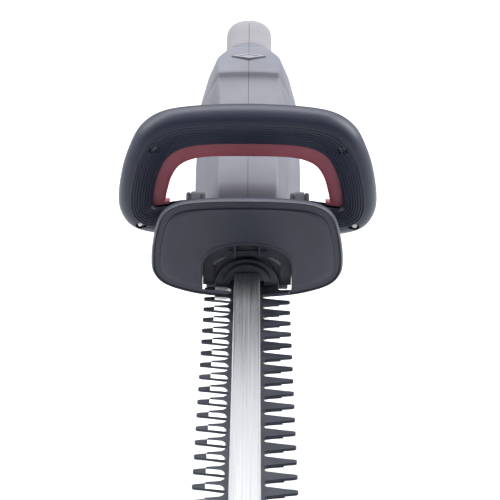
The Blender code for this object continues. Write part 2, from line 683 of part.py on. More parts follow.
def front_loop():
    deep = LOOP_HALF_DEEP
    lip = SWITCH_FRONT - 0.5
    rebate = LOOP_BAND - SWITCH_TUCK - SWITCH_TRAVEL - 0.7
    back = SWITCH_FRONT + SWITCH_DEEP + 0.5
    outside = ((0.0, 0.0), (1.2, -7.0), (5.0, 4.0 - deep), (13.0, -deep), (22.0, 1.8 - deep),
               (LOOP_BAND, -9.5), (LOOP_BAND, lip), (rebate, lip), (rebate, back), (LOOP_BAND, back),
               (LOOP_BAND, back + 1.0),
               (28.0, deep - 2.0), (13.0, deep), (5.0, deep - 3.5), (1.2, 7.5))
    inside = ((WALL, 0.0), (4.0, -6.5), (8.5, 4.4 - deep), (21.0, 4.6 - deep), (rebate - WALL, 7.5 - deep),
              (rebate - WALL, deep - 6.0), (13.0, deep - 3.0), (7.0, deep - 6.0), (4.0, 6.5))
    solid = hoop([loop_ring(u, v) for u, v in outside])
    channel = hoop([loop_ring(u, v, 1) for u, v in inside])
    screws = [(side * x, z) for x, z in LOOP_SCREWS for side in (-1, 1)]
    front = LOOP_Y - deep - 5
    for x, z in screws:
        channel = cut(channel, disc(5.2, front, LOOP_Y + deep + 5, 16, (x, z), "XZ"))
    for side in (-1, 1):
        channel = cut(channel, disc(6.0, 20.0, 90.0, 16, (side * CLAMP_X, CLAMP_Y)))
    shell = cut(solid, channel)
    for x, z in screws:
        shell = cut(shell, disc(SCREW_R + GAP, front, LOOP_Y + 10.0, 12, (x, z), "XZ"))
        shell = cut(shell, disc(SCREW_HEAD_R + 0.5, front, LOOP_Y - SCREW_SUNK, 14, (x, z), "XZ"))
    for side in (-1, 1):
        shell = cut(shell, disc(BOLT_R + GAP, 20.0, 90.0, 14, (side * CLAMP_X, CLAMP_Y)))
    black = look("handle_plastic")
    reach = LOOP_OUTER[6][0] + 20
    half_front = box((-reach, LOOP_Y - deep - 9, 0.0), (reach, LOOP_Y - SEAM, 200.0))
    half_rear = box((-reach, LOOP_Y + SEAM, 0.0), (reach, LOOP_Y + deep + 9, 200.0))
    add("handle_front_shell", keep(shell.copy(), half_front), black)
    add("handle_rear_shell", keep(shell, half_rear), black)
    zinc = look("zinc_steel")
    head = 2.4
    face = LOOP_Y - SCREW_SUNK - GAP - head
    for index, (x, z) in enumerate(screws):
        screw(f"handle_screw_{index + 1}", (x, face, z), (0, 1, 0), SCREW_HEAD_R, SCREW_R, head, 20.0, zinc)
    switch_bar(rebate)


def switch_bar(rebate):
    """The red U-shaped bar inside the loop, which slides up into the rebate."""
    outer = LOOP_BAND - SWITCH_TUCK
    inner = LOOP_BAND + SWITCH_BAND
    low = SWITCH_FRONT
    high = SWITCH_FRONT + SWITCH_DEEP
    section = ((outer, low), (inner - 1.5, low), (inner, low + 1.5), (inner, high - 1.5),
               (inner - 1.5, high), (outer, high))
    bar = hoop([loop_ring(u, v) for u, v in section])
    slant = 4.0
    side = LOOP_INNER[6][0] + 9
    gap_half = LOOP_INNER[6][0] - SWITCH_BAND - 3
    gap_top = 0.5 * (SWITCH_LOW + LOOP_INNER[0][1])
    right = ((side, 0.0), (side, SWITCH_LOW), (gap_half, SWITCH_LOW + slant), (gap_half, gap_top))
    below = right + tuple((-x, z) for x, z in reversed(right))
    bar = cut(bar, prism(below, LOOP_Y - 40, LOOP_Y + 40, "XZ"))
    add("switch_bar", bar, look("switch_red"))
    top = LOOP_OUTER[0][1]
    box_low = top - rebate + WALL + 0.6
    switch = box((-10.0, LOOP_Y - 7.0, box_low), (10.0, LOOP_Y + 7.0, box_low + 12.0))
    add("handle_switch", switch, look("dark_plastic"))


def clamps():
    seat = CASE_TOP + GAP
    width = CLAMP_X + CLAMP_HALF
    plate = box((-width, CLAMP_Y - 10, seat), (width, CLAMP_Y + 10, seat + BRACKET_THICK))
    steel = look("cover_steel")
    for x, y in bracket_screw_places():
        plate = cut(plate, disc(SCREW_R + GAP, seat - 5, seat + 9, 12, (x, y)))
        plate = cut(plate, disc(SCREW_HEAD_R + GAP, seat + 1.2, seat + 9, 14, (x, y)))
    for side in (-1, 1):
        plate = cut(plate, disc(BOLT_R + GAP, seat - 5, seat + 9, 14, (side * CLAMP_X, CLAMP_Y)))
    add("handle_bracket", plate, steel)
    zinc = look("zinc_steel")
    grey = look("clamp_grey")
    foot = LOOP_INNER[-2][1] + 1.2
    profile = [(CLAMP_R * math.cos(math.radians(a)), CLAMP_AXIS + CLAMP_R * math.sin(math.radians(a)))
               for a in range(0, 181, 20)]
    outline = [(CLAMP_Y + y, z) for y, z in profile] + [(CLAMP_Y - CLAMP_R, foot), (CLAMP_Y + CLAMP_R, foot)]
    head = 4.0
    start = seat - GAP - head
    sides = (("left", -1), ("right", 1))
    for (name, side), (screw_x, screw_y) in zip(sides, bracket_screw_places()):
        x = side * CLAMP_X
        block = prism(outline, x - CLAMP_HALF, x + CLAMP_HALF, "YZ")
        bolt_hole = disc(BOLT_R + GAP, 20.0, CLAMP_AXIS + 2, 14, (x, CLAMP_Y))
        add(f"clamp_{name}", cut(block, bolt_hole), grey)
        bolt = (BOLT_HEAD_R, BOLT_R, head, CLAMP_AXIS + 1 - start)
        screw(f"clamp_bolt_{name}", (x, CLAMP_Y, start), (0, 0, 1), *bolt, zinc)
        at = (screw_x, screw_y, seat + BRACKET_THICK)
        screw(f"bracket_screw_{name}", at, (0, 0, -1), SCREW_HEAD_R, SCREW_R, 1.6, 6.5, zinc)


# motor

def motor():
    axis = empty("motor_axis", (0.0, MOTOR_Y, 0.0))
    steel = look("shaft_steel")
    iron = look("motor_iron")
    copper = look("copper")
    bore = MOTOR_SHAFT_R + GAP
    fan_low = CASE_TOP + 4.7
    stator_low = fan_low + 7.5
    stator_high = stator_low + STATOR_HEIGHT
    bridge_low = stator_high + 11.0
    bridge_high = bridge_low + 5.2
    step_at = CASE_TOP - CASE_ROOF + GAP
    pinion_low = GEAR_LOW - 0.5
    profile = ((0.0, pinion_low - 0.3), (PINION_SHAFT_R, pinion_low - 0.3), (PINION_SHAFT_R, step_at),
               (MOTOR_SHAFT_R, step_at + 0.3), (MOTOR_SHAFT_R, bridge_high + 0.6), (0.0, bridge_high + 0.6))
    add("motor_shaft", lathe(profile), steel, parent=axis)
    pinion = prism(gear_outline(PINION_TEETH, -math.pi / 2), pinion_low, GEAR_HIGH + 0.5)
    pinion = cut(pinion, disc(PINION_SHAFT_R + GAP, 0.0, 50.0, 16))
    add("pinion", pinion, look("gear_steel"), parent=axis)
    vanes = []
    for i in range(SLOTS):
        middle = math.tau * i / SLOTS
        for radius, offset in ((7.0, -0.2), (FAN_R - 1.0, -0.03), (FAN_R - 1.0, 0.03), (7.0, 0.2)):
            vanes.append((radius * math.cos(middle + offset), radius * math.sin(middle + offset)))
    fan = fuse(prism(vanes, fan_low + 0.6, fan_low + 6.0), disc(FAN_R, fan_low, fan_low + 1.2, 32))
    add("cooling_fan", cut(fan, disc(bore, 0.0, 90.0)), look("dark_plastic"), parent=axis)
    core = []
    for i in range(SLOTS):
        middle = math.tau * i / SLOTS
        reach = math.pi / SLOTS
        pole = ((13.2, -0.8), (ARMATURE_R, -0.7), (ARMATURE_R, 0.0), (ARMATURE_R, 0.7), (13.2, 0.8))
        for radius, share in pole:
            angle = middle + share * reach
            core.append((radius * math.cos(angle), radius * math.sin(angle)))
    coil = ((0.0, stator_low - 1.5), (12.0, stator_low - 1.5), (13.8, stator_low + 1.0),
            (13.8, stator_high - 1.0), (12.0, stator_high + 1.5), (0.0, stator_high + 1.5))
    winding = lathe(coil, 20)
    armature = fuse(prism(core, stator_low + 1.5, stator_high - 1.5), winding)
    add("armature", cut(armature, disc(bore, 0.0, 99.0)), copper, parent=axis)
    add("commutator", ring(bore, 9.0, stator_high + 2.2, stator_high + 9.5, 20), copper, parent=axis)
    spot = (0.0, MOTOR_Y, 0.0)
    add("motor_stator", ring(ARMATURE_R + 0.8, STATOR_HALF, stator_low, stator_high, 28), iron, spot)
    running = MOTOR_SHAFT_R + RUNNING
    add("bearing_lower", ring(running, BEARING_R, step_at + 0.6, CASE_TOP - GAP), steel, spot)
    add("bearing_upper", ring(running, BUSH_R, bridge_low + GAP, bridge_high - GAP), steel, spot)
    wide = STATOR_HALF - 2.0
    leg = wide - 4.0
    base = stator_high + GAP
    bridge = ((-wide, base), (-leg, base), (-leg, bridge_low), (leg, bridge_low),
              (leg, base), (wide, base), (wide, bridge_high), (-wide, bridge_high))
    bridge = cut(prism(bridge, -10.5, 10.5, "XZ"), disc(BUSH_R + GAP, bridge_low - 5, bridge_high + 5))
    add("motor_bracket", bridge, look("dark_plastic"), spot)
    carbon = look("brush_carbon")
    for name, side in (("left", -1), ("right", 1)):
        ends = sorted((side * (9.0 + GAP), side * (leg - GAP)))
        brush = box((ends[0], -3.0, stator_high + 3.5), (ends[1], 3.0, stator_high + 8.0))
        add(f"carbon_brush_{name}", brush, carbon, spot)


# body shells and rear handle

def body_section(station, shrink):
    y, top, plateau, foot, side, low = station
    wide, height = side
    tall = height - low
    right = [(0.0, top + 1.2), (0.55 * plateau, top + 0.9), (plateau - 1.6, top),
             (plateau, top - 1.6), foot, side, (wide, low + 0.6 * tall),
             (wide - 1.5, low + min(0.35 * tall, 11.0)),
             (wide - 5.0, low + min(0.12 * tall, 3.6)), (wide - 11.0, low), (0.0, low)]
    outline = right + [(-x, z) for x, z in reversed(right[1:-1])]
    if shrink:
        outline = inset(outline, shrink)
    return outline


def body_rings(shrink):
    rings = []
    drop = STATIONS[3][0]
    last = STATIONS[-1][0]
    for station in STATIONS:
        y = station[0]
        if y <= drop:
            y += shrink
        if y == last:
            y -= shrink
        rings.append([place(point, "XZ", y) for point in body_section(station, shrink)])
    return rings


def handle_rings(shrink, first=0, last=None):
    """Sections of the rear handle across its path, from the crest round to the foot."""
    path = []
    count = len(HANDLE_PATH)
    for i in range(count - 1):
        p0 = Vector(HANDLE_PATH[max(i - 1, 0)])
        p1 = Vector(HANDLE_PATH[i])
        p2 = Vector(HANDLE_PATH[i + 1])
        p3 = Vector(HANDLE_PATH[min(i + 2, count - 1)])
        for t in (0.0, 0.5) if 2 < i < 7 else (0.0,):
            path.append(0.5 * (2 * p1 + (p2 - p0) * t + (2 * p0 - 5 * p1 + 4 * p2 - p3) * t ** 2
                               + (3 * p1 - p0 - 3 * p2 + p3) * t ** 3))
    path.append(Vector(HANDLE_PATH[-1]))
    rings = []
    total = len(path) - 1
    for i, centre in enumerate(path):
        tangent = (path[min(i + 1, total)] - path[max(i - 1, 0)]).normalized()
        share = min(max((i / total - 0.45) / 0.25, 0.0), 1.0)
        scale = 1.0 - 0.3 * share
        wide = HANDLE_HALF_WIDE * scale - shrink
        deep = HANDLE_HALF_DEEP * scale - shrink
        points = []
        for k in range(HANDLE_SIDES):
            angle = math.tau * k / HANDLE_SIDES
            c = math.copysign(abs(math.cos(angle)) ** 0.85, math.cos(angle))
            s = math.copysign(abs(math.sin(angle)) ** 0.85, math.sin(angle))
            points.append((wide * c, centre.x - tangent.y * deep * s, centre.y + tangent.x * deep * s))
        rings.append(points)
    return rings[first:last]


def diamond(grow=0.0):
    wide = BUTTON_HALF_WIDE + grow * 1.4
    long = BUTTON_HALF_LONG + grow
    y = BUTTON_AT[0]
    return ((-wide, y), (0.0, y - long), (wide, y), (0.0, y + long))


def grip_region(grow):
    """The space of the soft grip: the handle's top and sides behind the crest."""
    front = PAD_START - grow
    floor = PAD_FLOOR - grow
    back = INLET_BACK + 20
    outline = ((front, floor + 6.0), (front + 8.0, floor), (back, floor), (back, 190.0), (front, 190.0))
    return prism(outline, -60.0, 60.0, "YZ")


def trigger_slot(grow):
    """The opening in the grip's underside that the trigger moves in, cut right up into the hollow."""
    y, z = TRIGGER_PIVOT
    half = TRIGGER_HALF + 0.9 + grow
    top = max(point[1] for point in HANDLE_PATH) - 0.5 * (HANDLE_HALF_DEEP - HANDLE_WALL)
    return box((-half, y - 8.0 - grow, z - 30.0), (half, y + TRIGGER_LENGTH + 4.0 + grow, top))


def rear_body():
    outer = fuse(loft(body_rings(0.0)), loft(handle_rings(0.0)))
    hollow = fuse(loft(body_rings(WALL)), loft(handle_rings(HANDLE_WALL, 1, -1)))
    for y, z, half in BODY_SCREWS:
        hollow = cut(hollow, disc(5.2, -half - 9, half + 9, 16, (y, z), "YZ"))
    collar = disc(INLET_R + 3.0, INLET_FRONT - 4.0, INLET_BACK, 24, (0.0, INLET_AT), "XZ")
    hollow = cut(hollow, collar)
    shell = cut(outer, hollow)
    shell = cut(shell, disc(INLET_R + GAP, INLET_FRONT - 1.0, INLET_BACK + 20, 24, (0.0, INLET_AT), "XZ"))
    shell = cut(shell, disc(4.5, INLET_FRONT - 9.0, INLET_FRONT + 2.0, 12, (0.0, INLET_AT), "XZ"))
    shell = cut(shell, prism(diamond(0.45), 140.0, 175.0))
    shell = cut(shell, disc(BEARING_R + 3.0, CASE_TOP - 4, CASE_TOP + 8, 24, (0.0, MOTOR_Y)))
    shell = cut(shell, trigger_slot(0.0))
    for i in range(VENTS):
        y = VENT_START + VENT_STEP * i
        shell = cut(shell, box((-70.0, y, 44.0), (70.0, y + VENT_WIDE, 68.0)))
    for y, z, half in BODY_SCREWS:
        shell = cut(shell, disc(SCREW_R + GAP, -10.0, half + 9, 12, (y, z), "YZ"))
        shell = cut(shell, disc(SCREW_HEAD_R + 0.5, half - BODY_SCREW_SUNK, half + 20, 14, (y, z), "YZ"))
    tube = cut(loft(handle_rings(-0.02)), loft(handle_rings(PAD_THICK)))
    recess = keep(loft_shell(PAD_THICK + GAP), grip_region(GAP))
    shell = cut(shell, recess)
    pad = cut(keep(tube, grip_region(0.0)), trigger_slot(0.2))
    grey = look("body_plastic")
    rubber = look("grip_rubber")
    for name, side in (("left", -1), ("right", 1)):
        ends = sorted((side * SEAM, side * 90.0))
        for label, whole, finish in (("body_shell", shell, grey), ("grip_pad", pad, rubber)):
            half_space = box((ends[0], -60.0, -30.0), (ends[1], 420.0, 220.0))
            half_body = keep(whole.copy(), half_space)
            if label == "grip_pad":
                room = disc(INLET_R + 3.0, INLET_FRONT - 4.0, INLET_BACK + 20, 24, (0.0, INLET_AT), "XZ")
                half_body = cut(half_body, room)
            add(f"{label}_{name}", half_body, finish)
    zinc = look("zinc_steel")
    head = 2.4
    for index, (y, z, half) in enumerate(BODY_SCREWS):
        at = (half - BODY_SCREW_SUNK + GAP + head, y, z)
        screw(f"body_screw_{index + 1}", at, (-1, 0, 0), SCREW_HEAD_R, SCREW_R, head, at[0] + 8.0, zinc)


def loft_shell(depth):
    """The outer layer of the handle, to the given depth."""
    return cut(loft(handle_rings(-1.0)), loft(handle_rings(depth)))


def controls():
    red = look("switch_red")
    pivot_y, pivot_z = TRIGGER_PIVOT
    length = TRIGGER_LENGTH
    drop = TRIGGER_DROP
    outline = ((-5.0, 3.0), (4.0, 5.5), (0.8 * length, 1.5), (length, -6.0), (length - 3.0, -drop - 1.5),
               (0.62 * length, -drop - 4.5), (0.3 * length, -drop - 2.0), (0.06 * length, 4.0 - drop),
               (-4.0, -5.0))
    add("trigger", prism(outline, -TRIGGER_HALF, TRIGGER_HALF, "YZ"), red, (0.0, pivot_y, pivot_z))
    coil_y = pivot_y + 0.72 * length
    spring_low = pivot_z + 3.6
    spring_high = 0.5 * (spring_low + 170.0) - 3.0
    turns = 4
    sides = 8
    points = []
    for i in range(turns * sides + 1):
        angle = math.tau * i / sides
        rise = (spring_high - spring_low - 1.6) * i / (turns * sides)
        points.append((3.2 * math.cos(angle), 3.2 * math.sin(angle), spring_low + 0.8 + rise))
    add_wire("trigger_spring", points, 0.55, look("zinc_steel"), (0.0, coil_y, 0.0))
    switch = box((-7.0, pivot_y + 4.0, pivot_z + 8.5), (7.0, pivot_y + 28.0, pivot_z + 18.5))
    add("trigger_switch", switch, look("dark_plastic"))
    top = BUTTON_AT[1] + 2.0
    button = fuse(prism(diamond(), top - 13.0, top), prism(diamond(2.5), top - 13.0, top - 8.5))
    add("lock_off_button", button, look("button_grey"))


def add_wire(name, points, radius, material, at):
    """A bent wire as a poly curve with a round section and closed ends."""
    curve = bpy.data.curves.new(name, "CURVE")
    curve.dimensions = "3D"
    curve.bevel_depth = radius * MM
    curve.bevel_resolution = 1
    curve.use_fill_caps = True
    spline = curve.splines.new("POLY")
    spline.points.add(len(points) - 1)
    for target, point in zip(spline.points, points):
        target.co = (*(Vector(point) * MM), 1.0)
    curve.materials.append(material)
    wire = bpy.data.objects.new(name, curve)
    bpy.context.collection.objects.link(wire)
    wire.location = Vector(at) * MM
    return wire


def power_inlet():
    profile_outer = disc(INLET_R, INLET_FRONT, INLET_BACK, 28, (0.0, INLET_AT), "XZ")
    floor = INLET_BACK - INLET_DEEP
    socket = disc(INLET_R - 2.2, floor, INLET_BACK + 5, 24, (0.0, INLET_AT), "XZ")
    add("power_inlet", cut(profile_outer, socket), look("dark_plastic"))
    brass = look("pin_brass")
    for name, side in (("left", -1), ("right", 1)):
        pin = disc(1.9, floor + GAP, INLET_BACK - 3.0, 12, (side * 4.9, INLET_AT), "XZ")
        add(f"inlet_pin_{name}", pin, brass)


def build():
    clear_scene()
    blade_pack()
    crank()
    gear_case()
    nose_cover()
    hand_guard()
    front_loop()
    clamps()
    motor()
    rear_body()
    controls()
    power_inlet()


build()
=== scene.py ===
import math

import bmesh
import bpy
from mathutils import Matrix, Vector


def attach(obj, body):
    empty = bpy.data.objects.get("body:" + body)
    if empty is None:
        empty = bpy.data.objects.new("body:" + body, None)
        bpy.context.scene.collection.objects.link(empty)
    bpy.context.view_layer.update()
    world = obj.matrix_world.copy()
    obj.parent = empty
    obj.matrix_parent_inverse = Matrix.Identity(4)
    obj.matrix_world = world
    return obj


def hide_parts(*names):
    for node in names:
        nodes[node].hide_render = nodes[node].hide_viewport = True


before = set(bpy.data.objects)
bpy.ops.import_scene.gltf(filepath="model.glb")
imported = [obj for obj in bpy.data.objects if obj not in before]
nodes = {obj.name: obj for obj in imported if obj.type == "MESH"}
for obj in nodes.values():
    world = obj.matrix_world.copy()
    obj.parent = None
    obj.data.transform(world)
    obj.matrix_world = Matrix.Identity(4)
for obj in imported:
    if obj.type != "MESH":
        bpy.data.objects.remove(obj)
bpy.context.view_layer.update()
mm = 0.001
fixed = "housing"          # body that everything still rides on


# Mesh helpers

def finishMesh(bm, name):
    bmesh.ops.remove_doubles(bm, verts=bm.verts, dist=0.002)
    bmesh.ops.recalc_face_normals(bm, faces=bm.faces)
    if bm.calc_volume(signed=True) < 0:
        bmesh.ops.reverse_faces(bm, faces=bm.faces)
    bmesh.ops.scale(bm, vec=(mm, mm, mm), verts=bm.verts)
    mesh = bpy.data.meshes.new(name)
    bm.to_mesh(mesh)
    bm.free()
    return mesh


def skin(rings, joined=False, name="skin"):
    # quads between rings of equal count; joined closes the last ring onto the first
    bm = bmesh.new()
    loops = [[bm.verts.new(point) for point in ring] for ring in rings]
    count = len(loops[0])
    pairs = list(zip(loops, loops[1:]))
    if joined:
        pairs.append((loops[-1], loops[0]))
    for near, far in pairs:
        for i in range(count):
            j = (i + 1) % count
            bm.faces.new((near[i], near[j], far[j], far[i]))
    if not joined:
        bm.faces.new(list(reversed(loops[0])))
        bm.faces.new(loops[-1])
    return finishMesh(bm, name)


def across(point, plane, level):
    a, b = point
    if plane == "XY":
        return (a, b, level)
    if plane == "XZ":
        return (a, level, b)
    return (level, a, b)


def prism(outline, low, high, plane="XY"):
    rings = [[across(point, plane, level) for point in outline] for level in (low, high)]
    return skin(rings, name="prism")


def block(low, high):
    outline = ((low[0], low[1]), (high[0], low[1]), (high[0], high[1]), (low[0], high[1]))
    return prism(outline, low[2], high[2])


def circle(radius, count, at=(0.0, 0.0)):
    turns = [math.tau * (i + 0.5) / count for i in range(count)]
    return [(at[0] + radius * math.cos(t), at[1] + radius * math.sin(t)) for t in turns]


def disc(radius, low, high, count=48, at=(0.0, 0.0), plane="XY"):
    return prism(circle(radius, count, at), low, high, plane)


def turned(profile, count=32):
    bm = bmesh.new()
    points = [bm.verts.new((radius, 0.0, height)) for radius, height in profile]
    edges = [bm.edges.new(pair) for pair in zip(points, points[1:])]
    bmesh.ops.spin(bm, geom=points + edges, cent=(0, 0, 0), axis=(0, 0, 1), angle=math.tau, steps=count)
    return finishMesh(bm, "turned")


def combine(mesh, other, operation):
    for solver in ("MANIFOLD", "EXACT"):
        target = bpy.data.objects.new("target", mesh)
        tool = bpy.data.objects.new("tool", other)
        for carrier in (target, tool):
            bpy.context.collection.objects.link(carrier)
        modifier = target.modifiers.new("combine", "BOOLEAN")
        modifier.operation = operation
        modifier.solver = solver
        modifier.object = tool
        graph = bpy.context.evaluated_depsgraph_get()
        result = bpy.data.meshes.new_from_object(target.evaluated_get(graph))
        for carrier in (target, tool):
            bpy.data.objects.remove(carrier, do_unlink=True)
        if len(result.polygons) > 3:
            break
    return result


def cut(mesh, *others):
    for other in others:
        mesh = combine(mesh, other, "DIFFERENCE")
    return mesh


def fuse(mesh, *others):
    for other in others:
        mesh = combine(mesh, other, "UNION")
    return mesh


def keep(mesh, other):
    return combine(mesh, other, "INTERSECT")


def join(meshes):
    bm = bmesh.new()
    for mesh in meshes:
        bm.from_mesh(mesh)
    whole = bpy.data.meshes.new("joined")
    bm.to_mesh(whole)
    bm.free()
    return whole


def curvePoint(p0, p1, p2, p3, t):
    return 0.5 * (2 * p1 + (p2 - p0) * t + (2 * p0 - 5 * p1 + 4 * p2 - p3) * t ** 2
                  + (3 * p1 - p0 - 3 * p2 + p3) * t ** 3)


def smoothOutline(points, steps):
    # closed, mirrored in X, through the points of the right half
    whole = list(points) + [(-x, y) for x, y in reversed(points[1:-1])]
    count = len(whole)
    curve = []
    for i in range(count):
        four = [Vector(whole[(i + k - 1) % count]) for k in range(4)]
        for step in range(steps):
            point = curvePoint(*four, step / steps)
            curve.append((point.x, point.y))
    return curve


def inset(outline, distance):
    count = len(outline)
    moved = []
    for i, (x, y) in enumerate(outline):
        ahead, behind = outline[(i + 1) % count], outline[i - 1]
        tangent = Vector((ahead[0] - behind[0], ahead[1] - behind[1])).normalized()
        moved.append((x + tangent.y * distance, y - tangent.x * distance))
    return moved


def rounded(corners, radii, steps=5):
    # closed outline with each corner replaced by an arc of its own radius
    count = len(corners)
    outline = []
    for i in range(count):
        here = Vector(corners[i])
        before = Vector(corners[i - 1]) - here
        after = Vector(corners[(i + 1) % count]) - here
        reach = min(radii[i], 0.45 * before.length, 0.45 * after.length)
        start = here + before.normalized() * reach
        end = here + after.normalized() * reach
        for k in range(steps + 1):
            t = k / steps
            point = (1 - t) ** 2 * start + 2 * t * (1 - t) * here + t * t * end
            outline.append((point.x, point.y))
    return outline


def steady(xs, ys, x):
    # smooth curve through the stations that never overshoots them
    count = len(xs)
    slopes = [(ys[i + 1] - ys[i]) / (xs[i + 1] - xs[i]) for i in range(count - 1)]
    tangents = [slopes[0]]
    for a, b in zip(slopes, slopes[1:]):
        tangents.append(0.0 if a * b <= 0 else 2 * a * b / (a + b))
    tangents.append(slopes[-1])
    i = max(k for k in range(count - 1) if k == 0 or xs[k] <= x)
    span = xs[i + 1] - xs[i]
    t = (x - xs[i]) / span
    return ((2 * t ** 3 - 3 * t ** 2 + 1) * ys[i] + (t ** 3 - 2 * t ** 2 + t) * span * tangents[i]
            + (3 * t ** 2 - 2 * t ** 3) * ys[i + 1] + (t ** 3 - t ** 2) * span * tangents[i + 1])


def place(name, data):
    made = bpy.data.objects.new(name, data)
    bpy.context.scene.collection.objects.link(made)
    return made


def piece(name, mesh, material, body=fixed, stands=(), sharp=32, bevel=0.0):
    mesh.name = name
    made = place(name, mesh)
    if material is not None:
        mesh.materials.clear()
        mesh.materials.append(material)
    mesh.shade_smooth()
    mesh.set_sharp_from_angle(angle=math.radians(sharp))
    if bevel:
        edges = made.modifiers.new("softEdges", "BEVEL")
        edges.width = bevel * mm
        edges.segments = 2
        edges.limit_method = "ANGLE"
        edges.angle_limit = math.radians(sharp)
        edges.harden_normals = True
    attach(made, body)
    if stands:
        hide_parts(*stands)
    return made


# Geometry Nodes helpers

def newTree(name, inputs):
    tree = bpy.data.node_groups.new(name, "GeometryNodeTree")
    tree.is_modifier = True
    tree.interface.new_socket("Geometry", in_out="INPUT", socket_type="NodeSocketGeometry")
    for label, kind, value in inputs:
        socket = tree.interface.new_socket(label, in_out="INPUT", socket_type="NodeSocket" + kind)
        if value is not None:
            socket.default_value = value
    tree.interface.new_socket("Geometry", in_out="OUTPUT", socket_type="NodeSocketGeometry")
    return tree, tree.nodes.new("NodeGroupInput"), tree.nodes.new("NodeGroupOutput")


def operate(tree, operation, kind="ShaderNodeMath"):
    node = tree.nodes.new(kind)
    node.operation = operation
    return node


def wire(tree, *links):
    # each link: node, its output, next node, its input
    for source, output, target, entry in links:
        tree.links.new(source.outputs[output], target.inputs[entry])


def endTree(tree, last, start, end):
    # realise the instances and give them the material input
    realise = tree.nodes.new("GeometryNodeRealizeInstances")
    paint = tree.nodes.new("GeometryNodeSetMaterial")
    tree.links.new(last, realise.inputs["Geometry"])
    tree.links.new(realise.outputs["Geometry"], paint.inputs["Geometry"])
    tree.links.new(start.outputs["Material"], paint.inputs["Material"])
    tree.links.new(paint.outputs["Geometry"], end.inputs["Geometry"])


def grow(tree, base, values):
    # run a tree on a base mesh and return the plain mesh it makes
    carrier = place("carrier", base)
    modifier = carrier.modifiers.new(tree.name, "NODES")
    modifier.node_group = tree
    for item in tree.interface.items_tree:
        if item.item_type == "SOCKET" and item.in_out == "INPUT" and item.name in values:
            modifier[item.identifier] = values[item.name]
    graph = bpy.context.evaluated_depsgraph_get()
    result = bpy.data.meshes.new_from_object(carrier.evaluated_get(graph), depsgraph=graph)
    carrier.modifiers.clear()
    bpy.data.objects.remove(carrier, do_unlink=True)
    return result


def template(mesh):
    made = place("template", mesh)
    return made


def pointCloud(places):
    mesh = bpy.data.meshes.new("places")
    mesh.from_pydata([Vector(point) * mm for point in places], [], [])
    return mesh


# Materials: all procedural, on object coordinates

def startMaterial(name, colour, roughness, metallic=0.0):
    material = bpy.data.materials.new(name)
    material.use_nodes = True
    shader = material.node_tree.nodes["Principled BSDF"]
    shader.inputs["Base Color"].default_value = (*colour, 1.0)
    shader.inputs["Roughness"].default_value = roughness
    shader.inputs["Metallic"].default_value = metallic
    return material, shader


def noiseOf(tree, scale, detail=3.0, stretch=(1.0, 1.0, 1.0)):
    where = tree.nodes.new("ShaderNodeTexCoord")
    mapping = tree.nodes.new("ShaderNodeMapping")
    mapping.inputs["Scale"].default_value = stretch
    texture = tree.nodes.new("ShaderNodeTexNoise")
    texture.inputs["Scale"].default_value = scale
    texture.inputs["Detail"].default_value = detail
    tree.links.new(where.outputs["Object"], mapping.inputs["Vector"])
    tree.links.new(mapping.outputs["Vector"], texture.inputs["Vector"])
    return texture.outputs["Fac"]


def rangeOf(tree, value, low, high, fromLow=0.3, fromHigh=0.7):
    node = tree.nodes.new("ShaderNodeMapRange")
    node.inputs["From Min"].default_value = fromLow
    node.inputs["From Max"].default_value = fromHigh
    node.inputs["To Min"].default_value = low
    node.inputs["To Max"].default_value = high
    tree.links.new(value, node.inputs["Value"])
    return node.outputs["Result"]


def mixOf(tree, factor, first, second):
    node = tree.nodes.new("ShaderNodeMix")
    node.data_type = "RGBA"
    for socket, value in ((node.inputs[6], first), (node.inputs[7], second)):
        if isinstance(value, tuple):
            socket.default_value = (*value, 1.0)
        else:
            tree.links.new(value, socket)
    tree.links.new(factor, node.inputs[0])
    return node.outputs[2]


def bumpOf(tree, height, strength, distance, shader):
    node = tree.nodes.new("ShaderNodeBump")
    node.inputs["Strength"].default_value = strength
    node.inputs["Distance"].default_value = distance
    tree.links.new(height, node.inputs["Height"])
    tree.links.new(node.outputs["Normal"], shader.inputs["Normal"])


def mouldedPlastic(name, dark, light, roughness, grain, depth):
    # spark-eroded texture: fine grain, slow colour and gloss variation
    material, shader = startMaterial(name, light, roughness)
    tree = material.node_tree
    cloud = noiseOf(tree, 18.0)
    fine = noiseOf(tree, grain, 4.0)
    tree.links.new(mixOf(tree, rangeOf(tree, cloud, 0.0, 1.0), dark, light), shader.inputs["Base Color"])
    tree.links.new(rangeOf(tree, fine, roughness - 0.06, roughness + 0.08), shader.inputs["Roughness"])
    bumpOf(tree, fine, depth, 0.00012, shader)
    return material


def softRubber(name, dark, light):
    # fine cross-hatched overmould
    material, shader = startMaterial(name, light, 0.72)
    tree = material.node_tree
    cloud = noiseOf(tree, 26.0)
    tree.links.new(mixOf(tree, rangeOf(tree, cloud, 0.0, 1.0), dark, light), shader.inputs["Base Color"])
    where = tree.nodes.new("ShaderNodeTexCoord")
    wave = tree.nodes.new("ShaderNodeTexWave")
    wave.bands_direction = "Y"
    wave.inputs["Scale"].default_value = 210.0
    wave.inputs["Distortion"].default_value = 0.6
    tree.links.new(where.outputs["Object"], wave.inputs["Vector"])
    bumpOf(tree, wave.outputs["Fac"], 0.25, 0.0002, shader)
    shader.inputs["Sheen Weight"].default_value = 0.25
    shader.inputs["Sheen Roughness"].default_value = 0.5
    return material


def brushedMetal(name, dark, light, roughness, stretch, depth=0.12):
    material, shader = startMaterial(name, light, roughness, 1.0)
    tree = material.node_tree
    lines = noiseOf(tree, 90.0, 4.0, stretch)
    tree.links.new(mixOf(tree, rangeOf(tree, lines, 0.0, 1.0), dark, light), shader.inputs["Base Color"])
    tree.links.new(rangeOf(tree, lines, roughness - 0.05, roughness + 0.07), shader.inputs["Roughness"])
    bumpOf(tree, lines, depth, 0.0001, shader)
    return material


